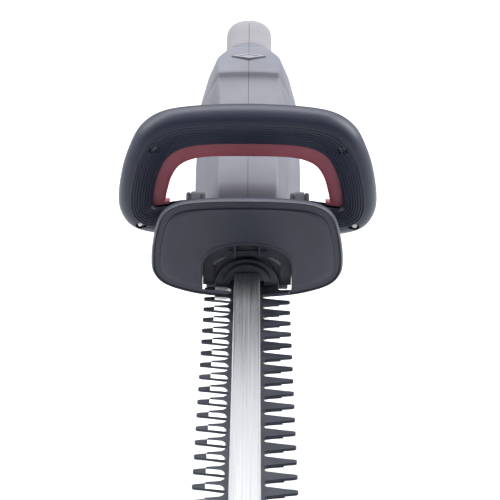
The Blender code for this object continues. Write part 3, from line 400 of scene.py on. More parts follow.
def bladeSteel(name, black, ground):
    # blackened sheet with the cutting bevels ground bright; the attribute says where
    material, shader = startMaterial(name, black, 0.4, 0.85)
    tree = material.node_tree
    where = tree.nodes.new("ShaderNodeAttribute")
    where.attribute_name = "groundEdge"
    scratches = noiseOf(tree, 420.0, 5.0, (0.25, 1.0, 1.0))
    worn = noiseOf(tree, 60.0, 4.0)
    bright = mixOf(tree, rangeOf(tree, scratches, 0.0, 1.0, 0.38, 0.62), tuple(0.62 * c for c in ground),
        ground)
    dull = mixOf(tree, rangeOf(tree, worn, 0.0, 1.0), black, tuple(1.7 * c for c in black))
    tree.links.new(mixOf(tree, where.outputs["Fac"], dull, bright), shader.inputs["Base Color"])
    tree.links.new(rangeOf(tree, worn, 0.3, 0.46), shader.inputs["Roughness"])
    bumpOf(tree, scratches, 0.16, 0.0001, shader)
    return material


plasticDark = mouldedPlastic("handlePlastic", (0.018, 0.023, 0.045), (0.026, 0.032, 0.060), 0.40, 900.0, 0.10)
plasticGuard = mouldedPlastic("guardPlastic", (0.023, 0.026, 0.045), (0.031, 0.035, 0.058), 0.42, 700.0, 0.08)
plasticNose = mouldedPlastic("nosePlastic", (0.030, 0.033, 0.048), (0.040, 0.044, 0.062), 0.46, 700.0, 0.10)
plasticBody = mouldedPlastic("bodyPlastic", (0.140, 0.145, 0.178), (0.168, 0.173, 0.208), 0.44, 1100.0, 0.28)
plasticRed = mouldedPlastic("switchRed", (0.370, 0.085, 0.120), (0.440, 0.110, 0.150), 0.42, 800.0, 0.08)
plasticButton = mouldedPlastic("buttonGrey", (0.215, 0.222, 0.260), (0.245, 0.252, 0.290), 0.42, 900.0, 0.12)
plasticClamp = mouldedPlastic("clampGrey", (0.100, 0.112, 0.140), (0.135, 0.148, 0.178), 0.36, 800.0, 0.12)
plasticBlack = mouldedPlastic("darkPlastic", (0.010, 0.011, 0.014), (0.018, 0.019, 0.023), 0.42, 800.0, 0.12)
rubberGrip = softRubber("gripRubber", (0.165, 0.160, 0.180), (0.205, 0.198, 0.220))
metalBar = brushedMetal("barAluminium", (0.665, 0.67, 0.69), (0.70, 0.705, 0.725), 0.30, (30.0, 0.05,
    30.0), 0.015)
metalZinc = brushedMetal("zincSteel", (0.46, 0.47, 0.49), (0.66, 0.67, 0.69), 0.30, (1.0, 1.0, 1.0))
metalCover = brushedMetal("coverSteel", (0.20, 0.205, 0.215), (0.30, 0.305, 0.315), 0.42, (1.0, 6.0, 1.0))
metalGear = brushedMetal("gearSteel", (0.22, 0.22, 0.225), (0.34, 0.34, 0.345), 0.36, (1.0, 1.0, 8.0))
metalShaft = brushedMetal("shaftSteel", (0.50, 0.50, 0.51), (0.66, 0.66, 0.67), 0.22, (1.0, 1.0, 12.0))
metalBlade = bladeSteel("bladeSteel", (0.030, 0.034, 0.046), (0.80, 0.79, 0.77))
metalBronze = brushedMetal("bushBronze", (0.42, 0.27, 0.12), (0.56, 0.37, 0.17), 0.38, (1.0, 1.0, 4.0))
metalIron = brushedMetal("motorIron", (0.16, 0.16, 0.17), (0.27, 0.27, 0.28), 0.48, (1.0, 1.0, 30.0))
metalCopper = brushedMetal("copperWire", (0.55, 0.24, 0.11), (0.78, 0.38, 0.19), 0.32, (1.0, 1.0, 16.0))
metalBrass = brushedMetal("pinBrass", (0.58, 0.42, 0.19), (0.74, 0.56, 0.28), 0.24, (1.0, 6.0, 1.0))
metalCase = mouldedPlastic("caseAlloy", (0.030, 0.033, 0.046), (0.045, 0.050, 0.066), 0.44, 500.0, 0.18)
print("materials ready")


# Front loop handle

loopSizes = {
    "y": -35.0, "halfDeep": 18.0, "band": 34.0, "steps": 10,
    "outer": ((0.0, 163.4), (48.0, 161.6), (82.0, 155.8), (102.5, 142.0), (114.0, 121.0), (121.0, 98.0),
              (124.4, 72.0), (121.5, 55.0), (111.0, 42.0), (90.0, 35.5), (55.0, 33.1), (0.0, 33.1)),
    "inner": ((0.0, 126.2), (40.0, 125.2), (63.0, 121.0), (76.5, 112.5), (84.5, 99.0), (89.0, 84.0),
              (91.0, 72.0), (90.5, 64.0), (84.0, 61.0), (72.0, 63.0), (52.0, 65.0), (0.0, 64.8)),
    "switchFront": -3.5, "switchDeep": 13.0, "rebate": 28.5, "switchBand": 13.0, "switchLow": 61.0,
    "screws": ((89.5, 122.0), (101.8, 46.7)), "screwSeat": 9.0,
    "ribs": 8, "ribStart": 13.6, "ribStep": 2.45, "ribHigh": 0.95,
}
loopCurves = {}


def loopRing(u, v, steps=None):
    # the loop's outline moved u inwards, v from its middle plane
    steps = steps or loopSizes["steps"]
    if steps not in loopCurves:
        loopCurves[steps] = (smoothOutline(loopSizes["outer"], steps),
            smoothOutline(loopSizes["inner"], steps))
    outer, inner = loopCurves[steps]
    share = u / loopSizes["band"]
    y = loopSizes["y"] + v
    return [(a + (c - a) * share, y, b + (d - b) * share) for (a, b), (c, d) in zip(outer, inner)]


def loopFace(u):
    # how far the front face stands in front of the middle plane at u
    stations = (0.0, 1.0, 2.6, 5.0, 8.5, 13.0, 18.0, 22.0, 28.0, 34.0)
    depths = (0.15, 6.2, 10.4, 13.7, 16.6, 17.9, 17.3, 16.2, 13.4, 9.5)
    return -steady(stations, depths, u)


def frontProfile():
    s = loopSizes
    lip = s["switchFront"] - 0.5
    front = [(u, loopFace(u)) for u in (0.9, 1.6, 2.6, 3.8, 5.0, 6.8, 8.5, 10.5, 13.0, 15.5, 18.0, 20.0, 22.0,
                                        25.0, 28.0, 31.0, 33.0)]
    edge = [(33.8, -8.9), (34.0, -8.2), (34.0, lip), (s["rebate"], lip), (s["rebate"], -0.15), (1.1, -0.15)]
    return [(0.45, -0.75), (0.25, -2.6)] + front + edge


def rearProfile():
    s = loopSizes
    deep = s["halfDeep"]
    back = s["switchFront"] + s["switchDeep"] + 0.5
    inside = [(1.1, 0.15), (s["rebate"], 0.15), (s["rebate"], back), (34.0, back), (34.0, back + 0.8)]
    outside = [(31.0, deep - 4.4), (28.0, deep - 2.4), (24.0, deep - 1.0), (18.0, deep - 0.1),
        (13.0, deep - 0.1),
               (9.0, deep - 1.4), (5.8, deep - 3.4), (3.4, deep - 6.6), (1.6, 7.4), (0.6, 3.8), (0.45, 0.75)]
    return inside + outside


def ribTree():
    # ridges that follow the opening, stepped across the face and fading out along the top
    tree, start, end = newTree("loopRibs", [
        ("Count", "Int", 8), ("Start", "Float", 0.4), ("Step", "Float", 0.07), ("Height", "Float", 0.0006),
        ("Material", "Material", None)])
    new = tree.nodes.new
    toCurve = new("GeometryNodeMeshToCurve")
    copies = new("GeometryNodeDuplicateElements")
    copies.domain = "SPLINE"
    rank = operate(tree, "MULTIPLY_ADD")
    acrossLayer = new("GeometryNodeInputNamedAttribute")
    acrossLayer.data_type = "FLOAT_VECTOR"
    acrossLayer.inputs["Name"].default_value = "across"
    scaled = operate(tree, "SCALE", "ShaderNodeVectorMath")
    bulge = new("ShaderNodeFloatCurve")
    depths = [loopFace(34.0 * k / 10) for k in range(1, 11)]
    points = bulge.mapping.curves[0].points
    points[0].location = (0.1, -depths[0] / 20)
    points[1].location = (1.0, -depths[-1] / 20)
    for k, depth in enumerate(depths[1:-1], 2):
        points.new(k / 10, -depth / 20)
    bulge.mapping.update()
    deep = operate(tree, "MULTIPLY")
    deep.inputs[1].default_value = -0.020
    offset = new("ShaderNodeCombineXYZ")
    total = operate(tree, "ADD", "ShaderNodeVectorMath")
    move = new("GeometryNodeSetPosition")
    fade = new("GeometryNodeInputNamedAttribute")
    fade.data_type = "FLOAT"
    fade.inputs["Name"].default_value = "fade"
    thick = operate(tree, "MULTIPLY")
    section = new("GeometryNodeCurvePrimitiveCircle")
    section.inputs["Resolution"].default_value = 8
    section.inputs["Radius"].default_value = 1.0
    sweep = new("GeometryNodeCurveToMesh")
    wire(tree, (start, "Geometry", toCurve, "Mesh"), (toCurve, "Curve", copies, "Geometry"),
         (start, "Count", copies, "Amount"), (copies, "Duplicate Index", rank, 0),
         (start, "Step", rank, 1), (start, "Start", rank, 2), (acrossLayer, "Attribute", scaled, 0),
         (rank, 0, scaled, "Scale"), (rank, 0, bulge, "Value"), (bulge, "Value", deep, 0),
         (deep, 0, offset, "Y"), (scaled, "Vector", total, 0), (offset, "Vector", total, 1),
         (copies, "Geometry", move, "Geometry"), (total, "Vector", move, "Offset"),
         (fade, "Attribute", thick, 0), (start, "Height", thick, 1), (move, "Geometry", sweep, "Curve"),
         (section, "Curve", sweep, "Profile Curve"), (thick, 0, sweep, "Scale"))
    endTree(tree, sweep.outputs["Mesh"], start, end)
    return tree


def loopRibs():
    s = loopSizes
    outer = loopRing(0.0, 0.0)
    inner = loopRing(s["band"], 0.0)
    count = len(outer)
    mesh = bpy.data.meshes.new("ribLine")
    mesh.from_pydata([Vector(point) * mm for point in outer],
        [(i, (i + 1) % count) for i in range(count)], [])
    mesh.attributes.new("across", "FLOAT_VECTOR", "POINT")
    mesh.attributes.new("fade", "FLOAT", "POINT")
    # fetched only now: adding a layer moves the earlier ones
    step, fade = mesh.attributes["across"], mesh.attributes["fade"]
    for i in range(count):
        step.data[i].vector = (Vector(inner[i]) - Vector(outer[i])) * mm
        side = abs(outer[i][0]) / 124.4
        high = max((outer[i][2] - 120.0) / 43.0, 0.0)
        fade.data[i].value = max(1.0 - 0.75 * high * (1.15 - side), 0.12)
    return grow(ribTree(), mesh, {"Count": s["ribs"], "Start": s["ribStart"] / s["band"],
                                  "Step": s["ribStep"] / s["band"], "Height": s["ribHigh"] * mm,
                                  "Material": plasticDark})


def stadium(halfLong, radius, at, turn, plane="XZ", steps=10):
    outline = []
    for side in (1, -1):
        for k in range(steps + 1):
            angle = math.pi * (k / steps - 0.5)
            outline.append((side * (halfLong + radius * math.cos(angle)), side * radius * math.sin(angle)))
    c, s = math.cos(turn), math.sin(turn)
    return [(at[0] + x * c - y * s, at[1] + x * s + y * c) for x, y in outline]


def buildLoop():
    s = loopSizes
    front = skin([loopRing(u, v) for u, v in frontProfile()], joined=True)
    rear = skin([loopRing(u, v) for u, v in rearProfile()], joined=True)
    face = s["y"] - s["halfDeep"] - 5
    for x, z in s["screws"]:
        for side in (-1, 1):
            at = (side * x, z)
            turn = side * math.radians(12.0 if z > 100 else -22.0)
            pocket = prism(stadium(2.6, 3.3, at, turn), face, s["y"] - s["screwSeat"], "XZ")
            front = cut(front, pocket, disc(2.3, face, s["y"] + 4, 24, at, "XZ"))
            rear = cut(rear, disc(2.3, s["y"] - 2, s["y"] + 10, 24, at, "XZ"))
    for side in (-1, 1):
        hole = disc(3.4, 20.0, 90.0, 24, (side * clampSizes["x"], clampSizes["y"]))
        front = cut(front, hole)
    piece("loopFront", front, plasticDark, stands=["handle_front_shell"])
    piece("loopRear", rear, plasticDark, stands=["handle_rear_shell"])
    ribs = piece("loopRibs", loopRibs(), None)
    ribs.data.shade_smooth()


def buildSwitchBar():
    s = loopSizes
    low = s["switchFront"]
    high = low + s["switchDeep"]
    outer = s["band"] - 0.8
    inner = s["band"] + s["switchBand"]
    corners = ((outer, low), (inner, low), (inner, high), (outer, high))
    section = rounded(corners, (0.4, 3.6, 3.6, 0.4), 6)
    bar = skin([loopRing(u, v) for u, v in section], joined=True)
    side = s["inner"][6][0] + 9
    half = s["inner"][6][0] - s["switchBand"] - 3
    top = s["switchLow"] + 19.0
    right = ((side, 0.0), (side, s["switchLow"]), (half, s["switchLow"] + 4.0), (half, top))
    below = right + tuple((-x, z) for x, z in reversed(right))
    bar = cut(bar, prism(below, s["y"] - 40, s["y"] + 40, "XZ"))
    piece("switchBar", bar, plasticRed, "switch_bar", ["switch_bar"], 40, 0.5)


# Clamps that hold the loop on its bracket

clampSizes = {"x": 49.6, "y": -47.0, "half": 9.2, "radius": 9.0, "axis": 70.8, "foot": 57.2,
              "band": 4.6, "groove": 0.9}


def clampRing(x, radius, drop):
    s = clampSizes
    steps = 20
    arc = [(radius * math.cos(math.pi * k / steps), s["axis"] + radius * math.sin(math.pi * k / steps))
           for k in range(steps + 1)]
    points = arc + [(-radius, s["foot"] + drop), (radius, s["foot"] + drop)]
    return [(x, s["y"] + y, z) for y, z in points]


def buildClamps():
    s = clampSizes
    for name, side in (("left", -1), ("right", 1)):
        middle = side * s["x"]
        ends = ((-s["half"], 6.6), (-s["half"] + 0.3, 7.5), (-s["half"] + 1.4, 8.1),
            (-s["band"] - s["groove"], 8.4),
                (-s["band"] - s["groove"] + 0.1, 7.3), (s["band"] + s["groove"] - 0.1, 7.3),
                (s["band"] + s["groove"], 8.4), (s["half"] - 1.4, 8.1), (s["half"] - 0.3,
                    7.5), (s["half"], 6.6))
        cheeks = skin([clampRing(middle + x, radius, 0.0) for x, radius in ends])
        band = ((-s["band"], 8.2), (-s["band"] + 0.5, 8.9), (0.0, s["radius"]), (s["band"] - 0.5, 8.9),
                (s["band"], 8.2))
        strap = skin([clampRing(middle + x, radius, 0.3) for x, radius in band])
        piece(f"clamp_{name}_block", cheeks, plasticClamp, stands=[f"clamp_{name}"])
        piece(f"clamp_{name}_band", strap, plasticButton)


# Hand guard

guardSizes = {
    "front": -120.0, "thick": 3.0, "sweep": 12.0, "lip": 9.0, "wide": 90.0, "steps": 8,
    "outline": ((0.0, 94.0), (38.5, 92.4), (65.3, 87.2), (80.6, 75.2), (87.8, 52.6), (90.0, 30.0),
                (87.6, 17.0), (77.0, 7.0), (52.0, 0.5), (22.0, -2.2), (0.0, -2.5)),
    "archHalf": 41.5, "archTop": 50.0, "archSpring": 26.0, "archFloor": 5.0, "archDeep": 20.0,
    "webX": 11.4, "web": 1.8, "seat": 29.6, "bend": -85.0, "footBack": -62.0,
}


def guardPoint(x, z, shift):
    s = guardSizes
    return (x, s["front"] + s["sweep"] * (x / s["wide"]) ** 2 + shift, z)


def archCurve(half, top, count=48, power=0.86):
    # flattened arch from its right foot to its left foot
    s = guardSizes
    points = []
    for i in range(count + 1):
        angle = math.pi * i / count
        c, n = math.cos(angle), math.sin(angle)
        points.append((half * math.copysign(abs(c) ** power, c),
            s["archSpring"] + (top - s["archSpring"]) * n ** power))
    return points


def guardPlate():
    s = guardSizes
    outline = smoothOutline(s["outline"], s["steps"])
    middle = 0.5 * (s["outline"][0][1] + s["outline"][-1][1])
    thick = s["thick"]
    rings = []

    def ring(scale, shift, inwards=0.0):
        points = inset(outline, inwards) if inwards else outline
        rings.append([guardPoint(x * scale, middle + (z - middle) * scale, shift) for x, z in points])

    # each row: how far behind the face, how far in from the rim; groove first, then rim, lip and back
    edge = ((-0.1, 9.2), (0.1, 8.8), (2.0, 8.2), (2.0, 3.0), (0.5, 2.4), (0.7, 1.4), (2.6, 0.6),
        (4.4, 0.0), (s["lip"] - 0.5, 0.0), (s["lip"], 0.4), (s["lip"], thick - 0.4), (s["lip"] - 0.5,
        thick), (thick + 1.4, thick), (thick, thick + 2.0))
    tiers = (0.25, 0.45, 0.65, 0.8)
    for scale in tiers:
        ring(scale, 0.0)
    for shift, inwards in edge:
        ring(1.0, shift, inwards)
    for scale in reversed(tiers):
        ring(scale, thick)
    return skin(rings)


def guardArch():
    # the opening's rounded flange, swept along the arch
    s = guardSizes
    inner = archCurve(s["archHalf"], s["archTop"])
    profile = ((0.0, 1.6), (0.5, 0.4), (1.8, -0.3), (3.2, 0.2), (4.4, 1.4), (4.4, 3.4), (2.5, 5.0),
               (2.5, s["archDeep"]), (0.0, s["archDeep"]))
    foot = 15.0
    path = [(s["archHalf"], foot), (s["archHalf"], 0.5 * (foot + s["archSpring"]))] + inner
    path += [(-x, z) for x, z in (path[1], path[0])]
    count = len(path)
    rings = []
    for i, (x, z) in enumerate(path):
        ahead, behind = path[min(i + 1, count - 1)], path[max(i - 1, 0)]
        tangent = Vector((ahead[0] - behind[0], ahead[1] - behind[1])).normalized()
        rings.append([guardPoint(x + tangent.y * out, z - tangent.x * out, back) for out, back in profile])
    return skin(rings)


def buildGuard():
    s = guardSizes
    plate = guardPlate()
    hollow = archCurve(s["archHalf"], s["archTop"]) + [(-s["archHalf"], s["archFloor"]),
        (s["archHalf"], s["archFloor"])]
    plate = cut(plate, prism(hollow, s["front"] - 20, s["front"] + 60, "XZ"))
    webLow = 36.3
    wall = archCurve(s["archHalf"], s["archTop"]) + [(-s["archHalf"], s["archFloor"]),
        (s["archHalf"], s["archFloor"])]
    back = prism(wall, s["front"] + s["archDeep"] - 1.5, s["front"] + s["archDeep"], "XZ")
    noseWay = archCurve(31.2, 33.4) + [(-31.2, s["archFloor"] - 5), (31.2, s["archFloor"] - 5)]
    parts = [plate, guardArch(), cut(back, prism(noseWay, s["front"], s["front"] + 60, "XZ"))]
    for side in (-1, 1):
        low = (side * s["webX"] - s["web"] / 2, s["front"] + 3, webLow)
        high = (side * s["webX"] + s["web"] / 2, s["front"] + s["archDeep"] - 1, s["archTop"] + 0.5)
        parts.append(block(low, high))
    start = s["front"] + s["archDeep"] - 3
    foot = ((start, webLow), (s["bend"], webLow), (s["bend"], s["seat"]), (s["footBack"], s["seat"]),
            (s["footBack"], s["seat"] + 3), (s["bend"] + 3, s["seat"] + 3), (s["bend"] + 3, webLow + 3),
            (start, webLow + 3))
    sheet = prism(foot, -18.0, 18.0, "YZ")
    for x in (-11.0, 11.0):
        sheet = cut(sheet, disc(2.3, s["seat"] - 5, s["seat"] + 9, 24, (x, -72.0)))
    parts.append(sheet)
    piece("handGuard", join(parts), plasticGuard, stands=["hand_guard"])


# Nose cover: three arched tiers over the blade pack

noseSizes = {
    "tiers": ((-112.0, -106.5, 22.6, 28.5), (-106.5, -99.0, 30.0, 32.0), (-99.0, -89.3, 38.5, 35.5)),
    "base": 8.0, "channel": 15.5, "low": 4.7, "ledge": 12.6, "barHalf": 12.3, "barTop": 20.8,
    "toothRoom": 24.0, "toothBack": -106.2,
}


def noseRing(y, half, top, foot, count=44):
    base = noseSizes["base"]
    arc = [(half * math.cos(math.pi * i / count), base + (top - base) * math.sin(math.pi * i / count))
           for i in range(count + 1)]
    return [(x, y, z) for x, z in arc + [(-half, foot), (half, foot)]]


def buildNose():
    s = noseSizes
    rings = []
    for index, (front, back, half, top) in enumerate(s["tiers"]):
        foot = 0.6 * (len(s["tiers"]) - 1 - index)
        for y, less in ((front, 1.3), (front + 0.3, 0.6), (front + 1.1, 0.1), (front + 1.6, 0.0),
            (back, 0.0)):
            rings.append(noseRing(y, half - less, top - less, foot))
    nose = skin(rings)
    barWay = rounded(((s["barHalf"], s["ledge"] - 1), (s["barHalf"], s["barTop"]),
        (-s["barHalf"], s["barTop"]),
                      (-s["barHalf"], s["ledge"] - 1)), (0.1, 3.4, 3.4, 0.1), 8)
    nose = cut(nose, prism(barWay, -125.0, -80.0, "XZ"))
    bladeWay = ((-s["channel"], s["low"]), (s["channel"], s["low"]), (s["channel"], s["ledge"]),
        (-s["channel"], s["ledge"]))
    nose = cut(nose, prism(bladeWay, -125.0, -80.0, "XZ"))
    # room for the first teeth at the end of the stroke
    nose = cut(nose, block((-s["toothRoom"], -125.0, s["low"]), (s["toothRoom"], s["toothBack"], s["ledge"])))
    piece("noseCover", nose, plasticNose, stands=["nose_cover"])


# Blades, bar and bolts

bladeSizes = {
    "pitch": 27.5, "teeth": 20, "first": -125.6, "spine": 14.0, "thick": 2.0,
    "lowerLow": 7.7, "upperLow": 10.0,
    "bar": 12.0, "barLow": 12.3, "barTop": 20.5, "barRound": 3.0, "barBack": -62.0, "tipMargin": 17.0,
    "bolts": 4, "boltStep": 110.0, "boltFirst": -220.6, "boltR": 3.0, "stroke": 5.0,
    "yokeHalf": 22.0, "yokeWide": 17.0, "yokeRim": 5.0,
    # distance from the centre line, half width, width of the ground bevel
    "long": ((14.0, 13.74, 0.05), (14.25, 11.6, 0.25), (15.0, 9.9, 0.3), (16.2, 8.6, 0.3), (18.8, 8.1, 0.3),
             (22.0, 7.1, 0.3), (27.0, 5.6, 0.3), (32.0, 4.4, 0.3), (36.5, 3.5, 0.3), (38.3, 2.9, 0.35),
             (39.2, 1.9, 0.35), (39.5, 0.8, 0.3)),
    "short": ((14.0, 13.74, 0.05), (14.25, 11.6, 0.3), (15.0, 9.9, 0.6), (16.2, 8.7, 2.0), (18.4, 8.2, 4.1),
              (22.0, 7.4, 4.3), (26.0, 6.6, 4.1), (29.1, 6.0, 3.9), (29.5, 5.8, 3.8)),
}


def toothMesh(side, stations, low, up):
    # one tooth at y = 0; its bevels face up or down, and the attribute marks them
    s = bladeSizes
    flat, edge = (low + s["thick"], low + 0.35) if up else (low, low + s["thick"] - 0.35)
    far = low if up else low + s["thick"]
    bm = bmesh.new()
    rings = []
    for x, half, bevel in stations:
        points = ((-half, far), (half, far), (half, edge), (half - bevel, flat), (bevel - half, flat),
            (-half, edge))
        rings.append([bm.verts.new((side * x, y, z)) for y, z in points])
    ground = bm.faces.layers.int.new("ground")
    for (near, outer), station in zip(zip(rings, rings[1:]), stations[1:]):
        for i in range(6):
            face = bm.faces.new((near[i], near[(i + 1) % 6], outer[(i + 1) % 6], outer[i]))
            face[ground] = int(i in (2, 4) and station[2] > 1.0)
    bm.faces.new(list(reversed(rings[0])))
    bm.faces.new(rings[-1])
    bmesh.ops.recalc_face_normals(bm, faces=bm.faces)
    marks = [face[ground] for face in bm.faces]
    bmesh.ops.scale(bm, vec=(mm, mm, mm), verts=bm.verts)
    mesh = bpy.data.meshes.new("tooth")
    bm.to_mesh(mesh)
    bm.free()
    mesh.attributes.remove(mesh.attributes["ground"])
    shade = mesh.attributes.new("groundEdge", "FLOAT", "FACE")
    for item, mark in zip(shade.data, marks):
        item.value = float(mark)
    return mesh


def toothTree():
    # a row of teeth at an even pitch
    tree, start, end = newTree("teethRow", [
        ("Tooth", "Object", None), ("Count", "Int", 20), ("Pitch", "Float", 0.0275), ("First", "Float", -0.1),
        ("Material", "Material", None)])
    new = tree.nodes.new
    row = new("GeometryNodeMeshLine")
    stepBack = operate(tree, "MULTIPLY")
    stepBack.inputs[1].default_value = -1.0
    origin = new("ShaderNodeCombineXYZ")
    step = new("ShaderNodeCombineXYZ")
    shape = new("GeometryNodeObjectInfo")
    spread = new("GeometryNodeInstanceOnPoints")
    everything = new("GeometryNodeJoinGeometry")
    wire(tree, (start, "Count", row, "Count"), (start, "First", origin, "Y"),
         (start, "Pitch", stepBack, 0), (stepBack, 0, step, "Y"),
         (origin, "Vector", row, "Start Location"), (step, "Vector", row, "Offset"),
         (start, "Tooth", shape, "Object"), (row, "Mesh", spread, "Points"),
         (shape, "Geometry", spread, "Instance"), (spread, "Instances", everything, "Geometry"),
         (start, "Geometry", everything, "Geometry"))
    endTree(tree, everything.outputs["Geometry"], start, end)
    return tree


def bladeSpine(low):
    s = bladeSizes
    tip = s["first"] - s["pitch"] * (s["teeth"] - 0.5) - s["tipMargin"]
    half = s["spine"]
    wide = s["yokeWide"] + s["yokeRim"]
    deep = s["yokeHalf"] + s["yokeRim"]
    right = [(half, -deep - 3.0), (wide, 6.0 - deep), (wide, deep - 6.0), (wide - 6.0, deep)]
    outline = [(-half, tip + 8.0), (-8.0, tip), (8.0, tip), (half, tip + 8.0)] + right
    outline += [(-x, y) for x, y in reversed(right)]
    mesh = prism(outline, low, low + s["thick"])
    mesh = cut(mesh, block((-s["yokeWide"], -s["yokeHalf"], low - 5), (s["yokeWide"], s["yokeHalf"],
        low + 5)))
    for i in range(s["bolts"]):
        y = s["boltFirst"] - s["boltStep"] * i
        slot = stadium(s["stroke"] + 0.3, s["boltR"] + 0.5, (0.0, y), math.pi / 2)
        mesh = cut(mesh, prism(slot, low - 5, low + 5))
    return mesh


def buildBlades():
    s = bladeSizes
    tree = toothTree()
    for name, low, longSide, up in (("upper_blade", s["upperLow"], 1, True),
        ("lower_blade", s["lowerLow"], -1, False)):
        mesh = bladeSpine(low)
        for side in (-1, 1):
            kind = "long" if side == longSide else "short"
            tooth = template(toothMesh(side, s[kind], low, up))
            first = s["first"] - (s["pitch"] / 2 if side == 1 else 0.0)
            mesh = grow(tree, mesh, {"Tooth": tooth, "Count": s["teeth"], "Pitch": s["pitch"] * mm,
                                     "First": first * mm, "Material": metalBlade})
            bpy.data.objects.remove(tooth, do_unlink=True)
        made = piece("upperBlade" if up else "lowerBlade", mesh, None, name, [name], 25)
        made.data.materials.clear()
        made.data.materials.append(metalBlade)
        for face in made.data.polygons:
            face.material_index = 0
    tip = s["first"] - s["pitch"] * (s["teeth"] - 0.5) - s["tipMargin"] - 3.0
    corners = ((s["bar"], s["barLow"]), (s["bar"], s["barTop"]), (-s["bar"], s["barTop"]),
        (-s["bar"], s["barLow"]))
    section = rounded(corners, (0.4, s["barRound"], s["barRound"], 0.4), 8)
    bar = prism(section, tip, s["barBack"], "XZ")
    for i in range(s["bolts"]):
        bar = cut(bar, disc(s["boltR"] + 0.3, s["barLow"] - 5, s["barTop"] - 2.0, 24,
            (0.0, s["boltFirst"] - s["boltStep"] * i)))
    piece("guideBar", bar, metalBar, stands=["blade_bar"])


# Screws: one template with a cross recess, spread on the heads' places

screwSizes = {"head": 3.8, "shank": 2.0, "thick": 2.3, "recess": 2.3, "slotWide": 0.75, "slotDeep": 1.2}


def screwMesh(length, head=None, shank=None, thick=None):
    s = screwSizes
    head, shank, thick = head or s["head"], shank or s["shank"], thick or s["thick"]
    profile = ((0.0, 0.0), (0.55 * head, 0.12), (0.85 * head, 0.5), (head - 0.08, 1.1),
        (head, thick - 0.2), (head - 0.15, thick),
               (shank, thick), (shank, length - 0.8), (0.4 * shank, length), (0.0, length))
    mesh = turned(profile, 28)
    for wide, long in ((s["slotWide"], s["recess"]), (s["recess"], s["slotWide"])):
        mesh = cut(mesh, block((-wide, -long, -1.0), (wide, long, s["slotDeep"])))
    return mesh


def screwTree():
    tree, start, end = newTree("screwSet", [("Screw", "Object", None), ("Turn", "Rotation", None),
        ("Material", "Material", None)])
    new = tree.nodes.new
    shape = new("GeometryNodeObjectInfo")
    spread = new("GeometryNodeInstanceOnPoints")
    wire(tree, (start, "Screw", shape, "Object"), (start, "Geometry", spread, "Points"),
         (shape, "Geometry", spread, "Instance"), (start, "Turn", spread, "Rotation"))
    endTree(tree, spread.outputs["Instances"], start, end)
    return tree


def buildScrews():
    tree = screwTree()
    l = loopSizes
    loopFaceY = l["y"] - l["screwSeat"] - 2.7
    loopPlaces = [(side * x, loopFaceY, z) for x, z in l["screws"] for side in (-1, 1)]
    bodyPlaces = [(half - bodySizes["headSunk"] + 2.7, y, z) for y, z, half in bodySizes["screws"]]
    seat = guardSizes["seat"]
    quarter = math.pi / 2
    sets = (
        ("loopScrews", loopPlaces, 20.0, (-quarter, 0.25, 0.0), [f"handle_screw_{i}" for i in (1, 2, 3, 4)]),
        ("bodyScrews", bodyPlaces, 42.0, (0.0, -quarter, 0.0), [f"body_screw_{i}" for i in (1, 2, 3, 4)]),
        ("guardScrews", [(x, -72.0, seat + 5.5) for x in (-11.0, 11.0)], 9.0, (math.pi, 0.0, 0.4),
         ["guard_screw_left", "guard_screw_right"]),
    )
    for name, places, length, turn, stands in sets:
        shape = template(screwMesh(length))
        mesh = grow(tree, pointCloud(places), {"Screw": shape, "Turn": turn, "Material": metalZinc})
        bpy.data.objects.remove(shape, do_unlink=True)
        piece(name, mesh, metalZinc, stands=stands, sharp=28)


# Body shells, rear handle and grip pads

bodySizes = {
    # y, plateau height, plateau half width, foot of the flank, widest point, underside
    "stations": (
        (-14.0, 60.0, 26.0, (36.5, 47.0), (48.5, 41.5), 29.8), (-8.0, 68.5, 27.8, (38.0, 52.0),
            (50.2, 45.5), 29.8),
        (0.0, 75.2, 29.0, (39.0, 57.0), (51.5, 49.0), 29.8), (58.0, 104.1, 29.3, (40.5, 82.0),
            (52.5, 73.0), 29.8),
        (60.0, 105.0, 29.3, (40.5, 83.0), (52.5, 74.0), 5.0), (105.0, 126.0, 29.5, (38.0, 112.0),
            (51.0, 96.0), 4.0),
        (143.0, 143.5, 30.5, (33.5, 140.0), (50.5, 109.0), 8.0), (148.0, 149.0, 32.0, (40.0, 131.0),
            (50.5, 110.0), 9.0),
        (178.0, 155.0, 33.0, (42.0, 134.5), (48.8, 111.0), 17.0), (200.0, 157.0, 27.0, (36.0, 139.0),
            (44.5, 108.0), 27.0),
        (222.0, 157.0, 20.0, (28.0, 143.0), (36.0, 104.0), 42.0), (238.0, 153.0, 14.0, (20.0, 145.0),
            (25.0, 102.0), 58.0)),
    "fill": (-11.0, -4.0, 12.0, 24.0, 36.0, 47.0, 70.0, 82.0, 94.0, 118.0, 130.0, 138.0, 144.5, 146.5,
        156.0, 166.0,
             186.0, 193.0, 208.0, 215.0, 230.0),
    "wall": 2.6, "seam": 0.22, "seamDepth": 0.8,
    "boss": 5.2, "bore": 2.3, "headBore": 4.3, "headSunk": 6.0, "bearing": (12.5, 25.0, 37.0, 42.2),
    "screws": ((-4.0, 44.0, 50.0), (92.0, 24.0, 51.0), (158.0, 92.0, 49.0), (300.0, 70.0, 17.0)),
    "vents": 6, "ventStart": 73.5, "ventStep": 7.5, "ventWide": 3.0, "ventLow": 44.0, "ventHigh": 68.0,
}
gripSizes = {
    "path": ((196.0, 128.0), (230.0, 139.0), (262.0, 143.5), (300.0, 145.0), (334.0, 143.5), (354.0, 128.0),
             (358.0, 106.0), (345.0, 86.0), (318.0, 74.0), (280.0, 66.0), (240.0, 60.0), (205.0, 56.0)),
    "wide": 24.5, "deep": 18.0, "sides": 40, "pad": 2.0, "wall": 5.0, "start": 238.0, "floor": 118.0,
    "steps": 4, "squareness": 0.95,
}
inletSizes = {"radius": 11.5, "z": 112.0, "front": 351.0, "back": 381.0}
